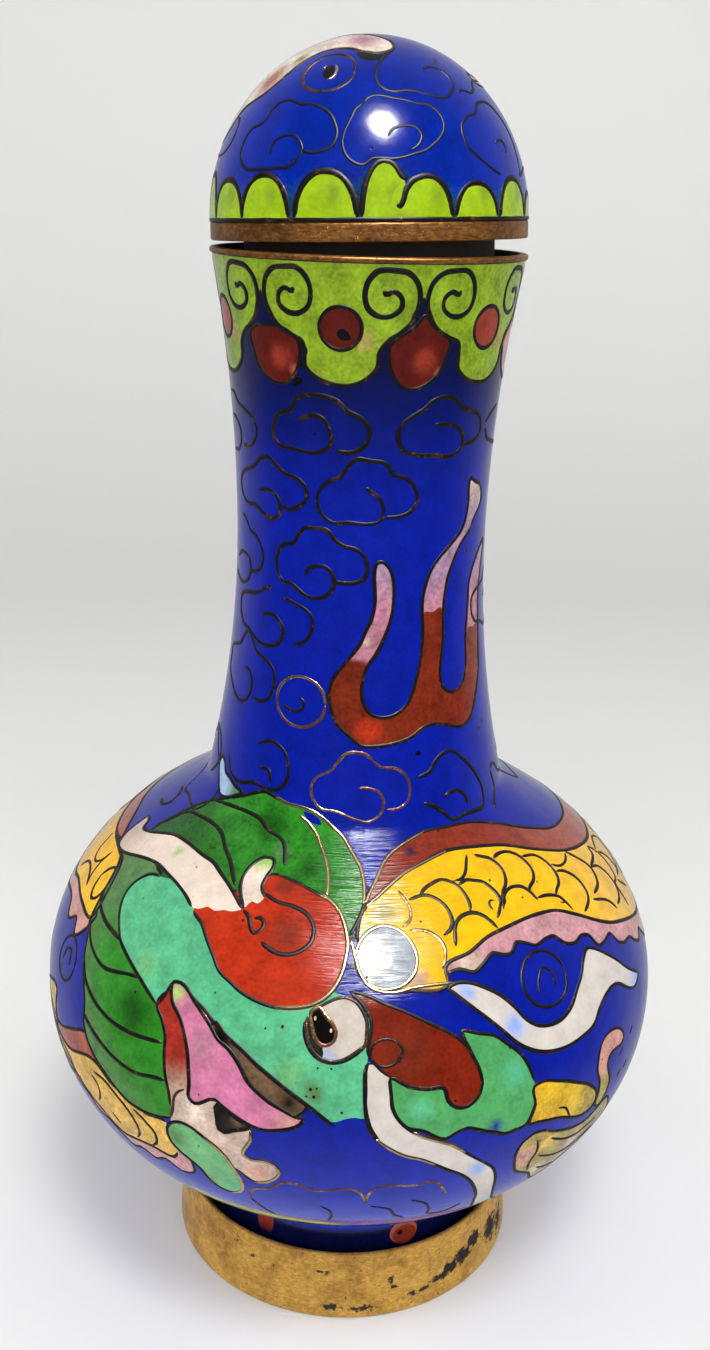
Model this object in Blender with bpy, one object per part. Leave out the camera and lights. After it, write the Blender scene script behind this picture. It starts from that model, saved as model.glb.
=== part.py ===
"""A small cloisonne vase with a domed lift-off lid, standing on a brass foot ring.

Five turned pieces share the +Z axis: the enamelled vessel, the metal ring on its mouth, the foot ring,
and the lid's own rim and dome.  Sizes are in metres, with the origin at the centre of the foot's underside
and the front of the vase towards -Y.
"""

import math

import bmesh
import bpy

# Driving sizes
fit_gap = 0.0003             # seam left between two pieces that touch or are soldered

lip_height = 0.0980          # top of the mouth ring above the table
wall = 0.0011                # copper with enamel on it
floor_thickness = 0.0014
base_recess = 0.0048         # underside of the vessel above the table

stem_radius = 0.01528        # short blue stem between foot ring and belly
stem_blend = 0.0008

belly_radius = 0.0295
belly_height = 0.0299        # level of the widest point
belly_half_height = 0.02155
belly_fullness = 2.09        # 2 is an ellipse, more is squarer
shoulder_blend = 0.0052      # how softly the belly runs into the neck

waist_radius = 0.01117       # narrowest part of the neck
waist_height = 0.0736
lower_flare_length = 0.0216  # from the waist down to where the neck leaves the shoulder
lower_flare = 0.00245        # how much wider the neck is there
upper_flare = 0.00222        # how much wider the neck is under the mouth ring

mouth_ring_height = 0.0010
mouth_ring_overhang = 0.00012
mouth_ring_width = 0.0010
mouth_ring_round = 0.0003

foot_wall = 0.0012
foot_height = 0.0073
foot_flare = 0.00040         # the ring is this much wider at the table than at its top
foot_tread = 0.0022          # width of the flat ring that meets the table
foot_edge_round = 0.0005

lid_inset = 0.00015          # the lid is this much smaller than the mouth ring
lid_open_gap = 0.0013        # the lid sits askew: open by this much on one side, touching on the other
lid_open_side = 60.0         # degrees from the front towards +X, where the gap is widest
lid_band_height = 0.0015
lid_band_width = 0.0012
lid_band_round = 0.0003
lid_dome_height = 0.01436
lid_wall = 0.0011
lid_web = 0.0008             # flat ring inside the band that carries the collar
collar_play = 0.0019         # room between the collar and the mouth ring
collar_wall = 0.0008
collar_depth = 0.0035

round_sides = 48


# Outlines as functions of height

def smooth_max(first, second, blend):
    """The larger of two radii, with the corner between them rounded over blend."""
    overlap = max(blend - abs(first - second), 0.0)
    return max(first, second) + overlap * overlap / (4.0 * blend)


def belly_outline(height, inset):
    """Radius of the squashed ball that makes the belly, drawn in by inset."""
    share = min(1.0, abs(height - belly_height) / (belly_half_height - inset))
    return (belly_radius - inset) * (1.0 - share ** belly_fullness) ** (1.0 / belly_fullness)


def neck_outline(height, inset):
    """Radius of the neck: two parabolas that meet at the waist."""
    above = height - waist_height
    if above > 0.0:
        flare, length = upper_flare, lip_height - waist_height
    else:
        flare, length = lower_flare, lower_flare_length
    return waist_radius - inset + flare * (above / length) ** 2


def vessel_radius(height, inset=0.0):
    """Outer radius of the vessel, or its inner radius where inset is the wall."""
    belly = belly_outline(height, inset)
    if height < belly_height:
        return smooth_max(stem_radius - inset, belly, stem_blend)
    return smooth_max(belly, neck_outline(height, inset), shoulder_blend)


def spread(low, high, count):
    """count heights from low up to, but without, high."""
    return [low + (high - low) * step / count for step in range(count)]


def vessel_heights(low, high, inset, stem_rows, belly_rows, neck_rows):
    """Row heights, close together where the belly turns quickly and wider apart on the neck."""
    half = belly_half_height - inset
    belly_start = belly_height - half * math.sqrt(1.0 - ((stem_radius - inset) / (belly_radius - inset)) ** 2)
    belly_start = max(belly_start - stem_blend, low + stem_blend)
    neck_start = belly_height + half
    rows = spread(low, belly_start, stem_rows)
    turn_start = math.acos(max(-1.0, min(1.0, (belly_height - belly_start) / half)))
    for turn in spread(turn_start, math.pi, belly_rows):
        rows.append(belly_height - half * math.cos(turn))
    rows += spread(neck_start, high, neck_rows)
    return rows + [high]


# Turning outlines into solids

def turned(name, outline, material, parent=None):
    """A solid of revolution about Z.  outline is (radius, height) pairs; a ring's outline closes on itself,
    and a bowl's starts and ends on the axis."""
    shape = bmesh.new()
    corners = [shape.verts.new((radius, 0.0, height)) for radius, height in outline]
    edges = [shape.edges.new(pair) for pair in zip(corners, corners[1:])]
    if outline[0][0] > 0.0:
        edges.append(shape.edges.new((corners[-1], corners[0])))
    bmesh.ops.spin(shape, geom=corners + edges, cent=(0, 0, 0), axis=(0, 0, 1), dvec=(0, 0, 0),
                   angle=2 * math.pi, steps=round_sides, use_merge=True, use_duplicate=False)
    bmesh.ops.remove_doubles(shape, verts=shape.verts, dist=1e-6)
    bmesh.ops.recalc_face_normals(shape, faces=shape.faces)
    mesh = bpy.data.meshes.new(name)
    shape.to_mesh(mesh)
    shape.free()
    mesh.materials.append(material)
    mesh.shade_smooth()
    mesh.set_sharp_from_angle(angle=math.radians(35))
    piece = bpy.data.objects.new(name, mesh)
    bpy.context.scene.collection.objects.link(piece)
    piece.parent = parent
    return piece


def rounded(corner, before, after, size):
    """Three points that round one corner of an outline."""
    def towards(target):
        reach = math.dist(corner, target)
        share = min(size / reach, 0.45)
        return tuple(c + (t - c) * share for c, t in zip(corner, target))
    first, last = towards(before), towards(after)
    middle = tuple(0.5 * c + 0.25 * (a + b) for c, a, b in zip(corner, first, last))
    return [first, middle, last]


def ring_outline(corners, sizes):
    """A closed outline whose corners are rounded by the matching sizes; 0 keeps a corner sharp."""
    points = []
    for index, (corner, size) in enumerate(zip(corners, sizes)):
        before, after = corners[index - 1], corners[(index + 1) % len(corners)]
        points += rounded(corner, before, after, size) if size else [corner]
    return points


def enamel(name, colour):
    """Glassy fired enamel."""
    return plain_material(name, colour, metallic=0.0, roughness=0.12)


def plain_material(name, colour, metallic, roughness):
    """A Principled material with one colour."""
    material = bpy.data.materials.new(name)
    material.use_nodes = True
    shader = material.node_tree.nodes["Principled BSDF"]
    shader.inputs["Base Color"].default_value = (*colour, 1.0)
    shader.inputs["Metallic"].default_value = metallic
    shader.inputs["Roughness"].default_value = roughness
    material.diffuse_color = (*colour, 1.0)
    return material


# The five pieces

def make_vessel(material):
    """Hollow body, from its recessed underside over stem, belly and neck to the mouth, and down the inside."""
    top = lip_height - mouth_ring_height - fit_gap
    floor = base_recess + floor_thickness
    outer = [(vessel_radius(z), z) for z in vessel_heights(base_recess, top, 0.0, 2, 17, 10)]
    inner = [(vessel_radius(z, wall), z) for z in vessel_heights(floor, top, wall, 1, 12, 6)]
    return turned("vase_body", [(0.0, base_recess)] + outer + inner[::-1] + [(0.0, floor)], material)


def mouth_ring_radius():
    """Outer radius of the metal ring on the mouth."""
    return neck_outline(lip_height, 0.0) + mouth_ring_overhang


def make_mouth_ring(material):
    """Metal ring that finishes the mouth."""
    low, high = lip_height - mouth_ring_height, lip_height
    outer = mouth_ring_radius()
    inner = outer - mouth_ring_width
    corners = [(inner, low), (outer, low), (outer, high), (inner, high)]
    return turned("mouth_ring", ring_outline(corners, [0, 0, mouth_ring_round, mouth_ring_round]), material)


def make_foot_ring(material):
    """Brass ring round the stem, thick at the tread and thin at its top edge."""
    inner_top = stem_radius + fit_gap
    outer_top = inner_top + foot_wall
    outer_low = outer_top + foot_flare
    inner_low = outer_low - foot_tread
    seat = base_recess - fit_gap
    corners = [(inner_low, 0.0), (outer_low, 0.0), (outer_top, foot_height), (inner_top, foot_height),
               (inner_top, seat), (inner_low, seat)]
    sizes = [0, foot_edge_round, foot_edge_round, 0, 0, 0]
    return turned("foot_ring", ring_outline(corners, sizes), material)


def lid_radius():
    """Outer radius of the lid's band."""
    return mouth_ring_radius() - lid_inset


def make_lid_seat():
    """Empty on the mouth ring where the lid touches; its tilt opens the far side.
    Seen in its own axes the lid's open side is its front, -Y."""
    seat = bpy.data.objects.new("lid_seat", None)
    bpy.context.scene.collection.objects.link(seat)
    turn = math.radians(lid_open_side)
    tilt = math.asin((lid_open_gap - fit_gap) / (2 * lid_radius()))
    seat.location = (-lid_radius() * math.sin(turn), lid_radius() * math.cos(turn), lip_height + fit_gap)
    seat.rotation_euler = (-tilt, 0.0, turn)
    return seat


def make_lid_rim(material, seat):
    """Brass band with a flat web inside it and the collar that drops loosely into the mouth."""
    outer = lid_radius()
    inner = outer - lid_band_width
    collar_outer = mouth_ring_radius() - mouth_ring_width - collar_play
    collar_inner = collar_outer - collar_wall
    corners = [(collar_inner, -collar_depth), (collar_outer, -collar_depth), (collar_outer, 0.0),
               (outer, 0.0), (outer, lid_band_height), (inner, lid_band_height), (inner, lid_web),
               (collar_inner, lid_web)]
    sizes = [0, 0, 0, lid_band_round, 0, 0, 0, 0]
    rim = turned("lid_rim", ring_outline(corners, sizes), material, seat)
    rim.location = (0.0, -outer, 0.0)
    return rim


def make_lid_dome(material, seat):
    """Hollow enamelled dome, half an ellipsoid of revolution that stands on the band."""
    start = math.asin(fit_gap / lid_dome_height)

    def quarter(radius, height, from_turn, rows):
        turns = [from_turn + (math.pi / 2 - from_turn) * row / rows for row in range(rows)]
        return [(radius * math.cos(t), height * math.sin(t)) for t in turns]

    inner_height = lid_dome_height - lid_wall
    outer = quarter(lid_radius(), lid_dome_height, start, 9)
    inner = quarter(lid_radius() - lid_wall, inner_height, math.asin(fit_gap / inner_height), 7)
    outline = [(0.0, inner_height)] + inner[::-1] + outer + [(0.0, lid_dome_height)]
    dome = turned("lid_dome", outline, material, seat)
    dome.location = (0.0, -lid_radius(), lid_band_height)
    return dome


for old in list(bpy.data.objects):
    bpy.data.objects.remove(old, do_unlink=True)

cobalt = enamel("cobalt_enamel", (0.012, 0.030, 0.36))
worn_brass = plain_material("worn_brass", (0.50, 0.30, 0.10), metallic=1.0, roughness=0.38)
bare_copper = plain_material("bare_copper", (0.36, 0.22, 0.13), metallic=1.0, roughness=0.36)

make_vessel(cobalt)
make_mouth_ring(bare_copper)
make_foot_ring(worn_brass)
lid_seat = make_lid_seat()
make_lid_rim(bare_copper, lid_seat)
make_lid_dome(cobalt, lid_seat)
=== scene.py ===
import math
import random

import bmesh
import bpy
import numpy as np
from mathutils import Matrix, Vector, geometry


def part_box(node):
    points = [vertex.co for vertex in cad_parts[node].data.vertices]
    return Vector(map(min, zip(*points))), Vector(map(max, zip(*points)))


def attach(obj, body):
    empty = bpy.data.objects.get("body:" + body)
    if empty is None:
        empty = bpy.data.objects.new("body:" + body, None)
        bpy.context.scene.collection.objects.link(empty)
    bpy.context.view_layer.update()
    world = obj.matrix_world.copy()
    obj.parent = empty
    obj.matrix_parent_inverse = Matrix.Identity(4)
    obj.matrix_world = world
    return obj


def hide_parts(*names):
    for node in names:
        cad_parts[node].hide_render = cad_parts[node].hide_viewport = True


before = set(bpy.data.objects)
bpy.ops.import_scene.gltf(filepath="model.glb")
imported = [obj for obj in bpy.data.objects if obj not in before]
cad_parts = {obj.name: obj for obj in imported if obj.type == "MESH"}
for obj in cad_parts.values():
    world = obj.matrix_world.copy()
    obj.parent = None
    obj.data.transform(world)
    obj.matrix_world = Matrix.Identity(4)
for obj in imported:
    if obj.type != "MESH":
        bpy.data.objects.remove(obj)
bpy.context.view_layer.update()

mm = 0.001

# The vessel's outline in mm, the same curves as the solid underneath
bodyLow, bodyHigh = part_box("vase_body")
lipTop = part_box("mouth_ring")[1][2] / mm
bellyRadius = bodyHigh[0] / mm
lipEdge = 0.5               # height of bare metal on the mouth, mm
baseLevel, neckTop = bodyLow[2] / mm, lipTop - lipEdge

vessel = {
    "stemRadius": 15.28, "stemBlend": 0.8, "bellyHeight": 29.9, "halfHeight": 21.55, "fullness": 2.09,
    "shoulderBlend": 5.2, "waistRadius": 11.17, "waistHeight": 73.6, "lowerFlareLength": 21.6,
    "lowerFlare": 2.45, "upperFlare": 2.22, "wall": 1.1, "floor": 1.4,
}

lid = {
    "radius": 13.36, "height": 14.36, "band": 1.5, "wall": 1.1, "seam": 0.3,
    "openGap": 1.3, "openSide": 60.0,       # sits askew: widest gap, degrees from the front
    "bandWidth": 1.2, "web": 0.8, "collarOuter": 10.61, "collarWall": 0.8, "collarDepth": 3.5,
}


def softMax(first, second, blend):
    overlap = np.maximum(blend - np.abs(first - second), 0.0)
    return np.maximum(first, second) + overlap * overlap / (4.0 * blend)


def radiusAt(height, inset=0.0):
    z = np.asarray(height, float)
    share = np.minimum(1.0, np.abs(z - vessel["bellyHeight"]) / (vessel["halfHeight"] - inset))
    belly = (bellyRadius - inset) * (1.0 - share ** vessel["fullness"]) ** (1.0 / vessel["fullness"])
    above = z - vessel["waistHeight"]
    upper = vessel["upperFlare"] * (above / (lipTop - vessel["waistHeight"])) ** 2
    lower = vessel["lowerFlare"] * (above / vessel["lowerFlareLength"]) ** 2
    neck = vessel["waistRadius"] - inset + np.where(above > 0.0, upper, lower)
    low = softMax(vessel["stemRadius"] - inset, belly, vessel["stemBlend"])
    return np.where(z < vessel["bellyHeight"], low, softMax(belly, neck, vessel["shoulderBlend"]))


# A flat map of the vessel that keeps shapes true: degrees round, and degrees of the same size up the wall
levels = np.arange(baseLevel, neckTop + 0.01, 0.02)
levels[-1] = neckTop
radii = radiusAt(levels)
climbs = np.degrees(np.hypot(np.diff(levels), np.diff(radii)) / (0.5 * (radii[1:] + radii[:-1])))
rises = np.concatenate([[0.0], np.cumsum(climbs)])
mapTop = float(rises[-1])


def vesselPlane(turn, height):
    return (turn, float(np.interp(height, levels, rises)))


def vesselSpace(plane, lift=0.0):
    # plane points to metres, lift in mm above the glaze
    z = np.interp(plane[:, 1], rises, levels)
    slope = (radiusAt(z + 0.02) - radiusAt(z - 0.02)) / 0.04
    size = np.hypot(1.0, slope)
    radius = radiusAt(z) + lift / size
    turn = np.radians(plane[:, 0])
    return np.stack([radius * np.sin(turn), -radius * np.cos(turn), z - lift * slope / size], 1) * mm


def lidTilt():
    # from the lid standing level on its seat to where it leans, in metres
    side = math.radians(lid["openSide"])
    angle = math.asin((lid["openGap"] - lid["seam"]) / (2 * lid["radius"]))
    touch = Vector((-math.sin(side), math.cos(side), 0.0)) * lid["radius"] * mm
    up = Matrix.Translation(Vector((0.0, 0.0, (lipTop + lid["seam"]) * mm)) + touch)
    axis = Vector((-touch.y, touch.x, 0.0)).normalized()
    lean = Matrix.Rotation(angle, 4, axis)
    if (lean @ (-touch)).z < 0.0:
        lean = Matrix.Rotation(-angle, 4, axis)
    return up @ lean @ Matrix.Translation(-touch)


lidPlace = np.array(lidTilt())


def leaned(points):
    return points @ lidPlace[:3, :3].T + lidPlace[:3, 3]


def lidPlane(turn, rise):
    # the dome seen flat from above: rise is 0 at the band and 90 at the crown
    return ((90 - rise) * math.sin(math.radians(turn)), -(90 - rise) * math.cos(math.radians(turn)))


def lidSpace(plane, lift=0.0):
    rise = np.radians(90.0 - np.hypot(plane[:, 0], plane[:, 1]))
    turn = np.arctan2(plane[:, 0], -plane[:, 1])
    nr, nz = np.cos(rise) / lid["radius"], np.sin(rise) / lid["height"]
    size = np.hypot(nr, nz)
    radius = lid["radius"] * np.cos(rise) + lift * nr / size
    z = lid["band"] + lid["height"] * np.sin(rise) + lift * nz / size
    return leaned(np.stack([radius * np.sin(turn), -radius * np.cos(turn), z], 1) * mm)


# Glaze colours as fired, read from the photograph
glazes = {
    "cobalt": "#021480", "deepCobaltAndShade": "#030930", "floorLitCobalt": "#1430BC", "lidCobalt": "#021D80",
    "paleBlue": "#8CA4C4", "green": "#26701C", "darkGreen": "#14480E", "greyGreen": "#4A6E40",
    "jade": "#4C9C72", "noseJade": "#438A50", "ovalJade": "#5E9A66", "white": "#CCBAAC",
    "cream": "#CEBEAE", "limeTip": "#8CB054", "pearl": "#7C848C", "red": "#A02A12",
    "ridgeRed": "#6A1A0A", "lipRed": "#86261C", "lipBeige": "#A08472", "pink": "#AE6684",
    "beige": "#B09A8C", "brown": "#5A4632", "brick": "#77291A", "yellow": "#DAA60E",
    "dullYellow": "#C49C48", "legYellow": "#BC961E", "olive": "#8E8040", "serration": "#AE7E84",
    "toePink": "#B48278", "whisker": "#B6AEA8", "skyTip": "#7C98D0", "flameRed": "#64200F",
    "flamePink": "#9C6878", "mauve": "#8E7088", "sandy": "#8E483A", "lime": "#6E881C",
    "lidLime": "#809E12", "dropRed": "#48100A", "paleDrop": "#A0705E", "black": "#080604",
    "teal": "#143C48", "ball": "#B0A69C", "plum": "#2A1034", "pit": "#201E1A", "petal": "#BC6C90",
}


def linear(hexColour):
    # sRGB hex to the linear values that shaders take
    parts = [int(hexColour[i:i + 2], 16) / 255 for i in (1, 3, 5)]
    return [p / 12.92 if p <= 0.04045 else ((p + 0.055) / 1.055) ** 2.4 for p in parts]


def smoothCurve(points, step, closed=False):
    # a smooth curve through given points, a point every step
    p = np.asarray(points, float)
    ends = (p[-1:], np.vstack([p[:1], p[1:2]])) if closed else (2 * p[:1] - p[1:2], 2 * p[-1:] - p[-2:-1])
    ring = np.vstack([ends[0], p, ends[1]])
    reach = np.maximum(np.hypot(*np.diff(ring, axis=0).T), 1e-6)
    curve = []
    for k in range(1, len(ring) - 2):
        before, here, after = reach[k - 1], reach[k], reach[k + 1]
        run = (ring[k + 1] - ring[k]) / here
        leave = ((ring[k] - ring[k - 1]) / before * here + run * before) / (before + here)
        arrive = (run * after + (ring[k + 2] - ring[k + 1]) / after * here) / (here + after)
        count = max(1, math.ceil(here / step))
        for t in np.arange(count) / count:
            curve.append((2 * t ** 3 - 3 * t ** 2 + 1) * ring[k] + (t ** 3 - 2 * t ** 2 + t) * here * leave
                         + (3 * t ** 2 - 2 * t ** 3) * ring[k + 1] + (t ** 3 - t ** 2) * here * arrive)
    if not closed:
        curve.append(p[-1])
    return np.array(curve)


# A picture is a list of glazed cells, later ones on top, and a list of wires
# wire shine levels: the two brightest are partly the wire's own gilt and copper and partly painted highlight
# on wires that lie in the lamp's glare
faint, black, brownWire, copperAndGlint, goldAndGlint = -0.8, 0.05, 0.3, 0.6, 1.0


def newPicture(plane, step, keepIn):
    # keepIn holds outlines just inside the borders of the glaze
    return {"plane": plane, "step": step, "keepIn": keepIn, "cells": [], "wires": []}


def flat(picture, points):
    return [picture["plane"](*point) for point in points]


def cell(picture, glaze, points, edge=black, sand=0.3, washes=(), covers=False):
    # edge is the wire round the cell, or None; washes run the glaze into other colours
    outline = picture["keepIn"](smoothCurve(flat(picture, points), picture["step"], closed=True))
    picture["cells"].append({"glaze": glaze, "outline": outline, "sand": sand, "washes": washes,
                             "covers": covers or edge is not None})
    if edge is not None:
        picture["wires"].append({"line": np.vstack([outline, outline[:1]]), "shine": edge, "closed": True,
                                 "under": len(picture["cells"])})


def wire(picture, shine, *lines, width=0.35, lift=0.0):
    for points in lines:
        line = smoothCurve(flat(picture, points), picture["step"])
        picture["wires"].append({"line": line, "shine": shine, "width": width, "lift": lift})


def oval(centre, across, high, count=12, lean=0.0):
    # points round an oval, half as wide as across, in degrees, and half as tall as high, in mm
    turns = [2 * math.pi * k / count for k in range(count)]
    return [(centre[0] + across * math.cos(t),
        centre[1] + high * math.sin(t) + lean * math.cos(t)) for t in turns]


def shifted(points, turn=0.0, rise=0.0, mirror=None):
    if mirror is not None:
        points = [(2 * mirror - a, z) for a, z in points]
    return [(a + turn, z + rise) for a, z in points]


def hideCovered(picture):
    # a cell's wire shows only where no later cell lies over it
    shown = []
    for entry in picture["wires"]:
        if "under" not in entry:
            shown.append(entry)
            continue
        line = entry["line"]
        hidden = np.zeros(len(line), bool)
        for part in picture["cells"][entry["under"]:]:
            if part["covers"]:
                hidden |= inside(line, part["outline"])
        if not hidden.any():
            shown.append(entry)
            continue
        start = int(np.argmax(hidden))
        order = np.roll(np.arange(len(line) - 1), -start)
        run = []
        for k in list(order) + [start]:
            if hidden[k]:
                if len(run) > 2:
                    shown.append({"line": line[run], "shine": entry["shine"]})
                run = []
            else:
                run.append(k)
    picture["wires"] = shown


def keepInVase(line):
    return np.stack([line[:, 0], np.clip(line[:, 1], 0.4, mapTop - 0.2)], 1)


def keepInDome(line):
    reach = np.hypot(line[:, 0], line[:, 1])
    return line * (np.minimum(reach, 89.8) / np.maximum(reach, 1e-6))[:, None]


vase = newPicture(vesselPlane, 1.1, keepInVase)
dome = newPicture(lidPlane, 1.3, keepInDome)

# The dragon's body: brick ridge, yellow hide, pink serration, carried round the back
ridgeTop = [(3.4, 46.3), (6.3, 47.4), (11.4, 48.8), (16, 49.3), (25, 49.9), (35, 49.9), (45, 49.7),
    (55, 49), (65, 47.9), (75, 46.8), (85, 46.2), (100, 45.6), (120, 44.9), (140, 44.6), (160, 45),
    (180, 45.6), (200, 46.2), (220, 46.6), (240, 46.4), (260, 45.8), (275, 45.4), (282.4, 44.5)]
hideTop = [(3.4, 46.1), (6.3, 46.6), (10, 47.2), (15, 47.8), (20, 48.15), (30, 48.6), (40, 48.4),
    (50, 47.9), (60, 46.8), (70, 45.6), (80, 44.7), (85, 44.3), (100, 43.6), (120, 42.8), (140, 42.5),
    (160, 42.9), (180, 43.7), (200, 44.5), (220, 45), (240, 44.9), (260, 44.4), (275, 44.1), (286.4, 44.2),
    (292.1, 44.1)]
hideLow = [(297.3, 40), (290, 40), (279.6, 40), (275, 39.4), (260, 39.3), (240, 39), (220, 38.5),
    (200, 37.8), (180, 37), (160, 36.1), (140, 35.6), (120, 35.7), (100, 36.3), (85, 37.3), (80, 38),
    (70, 39.6), (65, 40.4), (60, 41.5), (55, 42.7), (50, 43.6), (45, 43.9), (35, 43.9), (30, 43.7),
    (25, 43.1), (18.9, 42.4), (18.9, 41.5), (10.9, 41.3), (7, 41.5), (3.8, 42.2), (2.4, 43.4), (1.6, 44.8)]
frontTeeth = [(18.9, 42.2), (21.7, 42.2), (24.6, 41.85), (26.9, 42.2), (29.7, 42.7), (32, 42.4),
    (33.7, 42.35), (36, 42.9), (37.7, 42.7), (40, 42.3), (43.4, 42.4), (45.7, 42.3), (47.4, 41.6),
    (50.3, 41.2), (53.1, 41.35), (55.1, 41.1), (56.6, 40), (59.4, 39.9), (62.3, 40), (64, 38.9),
    (66.3, 38.4), (69.7, 38.15), (72, 37.3), (74.9, 36.7), (77.7, 37.1), (80, 36.1), (85, 34.6)]


def levelOn(line, turn):
    turns, heights = zip(*sorted(line))
    return float(np.interp(turn, turns, heights))


backTeeth = []
for step in range(19):
    turn = 90 + 10 * step
    low = levelOn(hideLow, turn) - 1.9
    backTeeth += [(turn, low), (turn + 5, low + 0.7)]
backTeeth = [point for point in backTeeth if point[0] < 276]
leftTeeth = [(279, 38.7), (283.6, 38.9), (288.1, 38), (292.1, 38.9), (294.7, 37.9), (297, 38.6)]
cell(vase, "serration", frontTeeth + backTeeth + leftTeeth + [(299, 40.5), (290, 41), (275, 40.5),
    (240, 40), (200, 39), (160, 37), (120, 37), (100, 37.5), (85, 38.5), (70, 41), (55, 44), (40, 45),
    (25, 44.5), (18.9, 42.6)], sand=0.5, washes=(("run", (60, 41), (90, 37), "toePink"),
    ("spot", (24, 42.4), 5, "beige")))
cell(vase, "brick", ridgeTop + hideTop[::-1][2:], sand=0.45, washes=(("run", (45, 49), (85, 45.5), "sandy"),
    ("spot", (18.5, 48.9), 2.6, "plum")))
cell(vase, "yellow", hideTop + hideLow, sand=0.22, washes=(("spot", (8, 45.8), 5, "olive"),
    ("run", (52, 45), (92, 41), "dullYellow"), ("run", (262, 42), (280, 42), "yellow"),
    ("spot", (13, 41.9), 3.4, "lipBeige")))
wire(vase, goldAndGlint, ridgeTop[:5], hideTop[:6], width=0.34, lift=0.02)
wire(vase, copperAndGlint, [(12.2, 46.9), (13.4, 46.45), (14.2, 45.85), (13.4, 45.3), (11.6, 45)], [(13, 44.8),
    (15.6, 44.75), (17.8, 44.5), (19.4, 44), (19.8, 43.6), (19.4, 43), (18.3, 42.4)], width=0.34)
wire(vase, black, [(14.4, 46.4), (16.25, 46.5), (18.75, 46.55), (21.25, 46.3), (23, 45.8), (23.4, 45.3),
    (23, 44.8), (21.9, 44.5), (20.3, 44.3)], [(17.5, 46.6), (19.4, 46.9), (21.9, 47.1), (24.4, 47.2),
    (26.9, 47), (28.4, 46.7), (29.2, 46.15), (29.2, 45.7), (28.5, 45.3)], [(22.25, 43.6), (22.7, 44.1),
    (23.6, 44.7), (25, 45.05), (26.9, 45.2), (28.75, 45.2), (30.6, 45), (32, 44.6), (33.1, 44)],
    [(28.75, 46.75), (31.25, 46.9), (33.75, 46.75), (35.6, 46.6), (36.9, 46.2), (37.6, 45.7), (37.4, 45.2)],
    [(37.2, 45.3), (35.9, 44.95), (34.2, 44.55)], [(27.8, 47), (30, 47), (32.5, 47.3), (34.4, 47.75),
    (35.9, 48.1)], [(38.4, 48), (40.3, 47.8), (42.2, 47.6), (43.3, 47.3), (43.75, 46.8), (43, 46.4),
    (41.25, 46), (39.7, 45.8), (38, 45.3), (36.9, 44.9)], [(38.1, 45.3), (39.4, 45.6), (41.9, 45.8),
    (44.2, 45.75), (45.6, 45.6), (46.7, 45.25), (47.3, 44.6)], [(43.7, 47.5), (46.5, 47.6), (49.6, 47.5),
    (51.8, 47.2), (52.9, 46.6), (52.4, 46), (50.25, 45.6), (47.75, 45.4), (46.5, 45.2)], [(53.1, 46.9),
    (55.25, 46.8), (57.75, 46.6), (59.2, 46.1), (59.3, 45.6), (58.7, 45.1), (57.1, 44.7), (54.9, 44.5),
    (53.4, 44.3)], [(47.6, 44.7), (50.25, 44.6), (52.4, 44.4), (54, 44.1), (54.8, 43.6), (55.2, 43)],
    [(59.6, 45.25), (61.5, 45.1), (63.1, 44.75), (64.2, 44.2), (64.2, 43.5), (63.1, 42.9), (61.2, 42.6),
    (58.4, 42.4)], [(60.1, 45.7), (61.8, 45.4), (64.3, 45.25), (66.8, 45.3), (69, 45.5)], [(69.4, 45.6),
    (71.5, 44.8), (72.75, 44.2), (73.1, 43.7), (72.1, 43.2), (70.25, 42.8), (68, 42.7), (65.9, 42.7)],
    [(64, 42.5), (65.9, 42.2), (68.4, 41.75), (69.9, 41.25), (70.9, 40.5)], [(73.1, 43.75), (75.25, 43.5),
    (76.8, 43.25), (77.9, 42.7), (78.4, 41.8), (77.4, 41), (75.25, 40.6), (72.4, 40.6)], [(74, 43.75),
    (77.1, 43.7), (79.9, 43.8), (81.5, 44.25)], [(81.8, 44.2), (83.1, 43.6), (83.8, 42.8), (83.1, 41.9),
    (81.2, 41.3), (78.7, 41.3), (78.1, 40.3), (78.1, 39.3)], [(84.3, 43.2), (86.2, 42.7), (87.75, 41.7),
    (87.5, 40.6)], [(81.5, 41), (83.4, 40.3), (85.6, 39.5)], width=0.4)
wire(vase, black, [(35.8, 45.5), (34.7, 45.55), (33.9, 45.3), (34.2, 45.05)], [(53.2, 43.8), (54.4, 43.6)],
    width=0.3)
cell(vase, "black", [(36.8, 45.1), (37.6, 45.6), (39.2, 45.6), (38.2, 45.1)], edge=None,
    washes=(("spot", (38, 45.4), 1, "brown"),))
wire(vase, black, [(-83.9, 43.8), (-81.6, 42.4), (-78.7, 42.1), (-75.9, 42.6), (-74.4, 43.7)], [(-85, 40.2),
    (-82.1, 41.3), (-78.1, 41.6), (-74.7, 41.3), (-72.7, 40.9)], [(-74.4, 43.7), (-75, 42.6), (-74.1, 41.5),
    (-72.7, 40.9)])
for row, start in ((1, 90), (-1, 96)):      # scales on the hidden side, two staggered rows
    for count in range(14):
        turn = start + 12.6 * count
        middle = 0.5 * (levelOn(hideTop, turn) + levelOn(hideLow, turn)) + 1.7 * row
        if turn < 272:
            wire(vase, black, [(turn - 6, middle + 1.3), (turn + 1, middle + 1.3), (turn + 5.4, middle),
                (turn + 1, middle - 1.3), (turn - 6, middle - 1.3)])
wire(vase, black, [(-70, 42.4), (-69, 43.1), (-67.4, 43.5), (-65.6, 43.1), (-64.6, 42), (-65.4, 41.2),
    (-67, 40.9), (-69, 41.4), (-70, 42.4)])
print("body band drawn")

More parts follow.
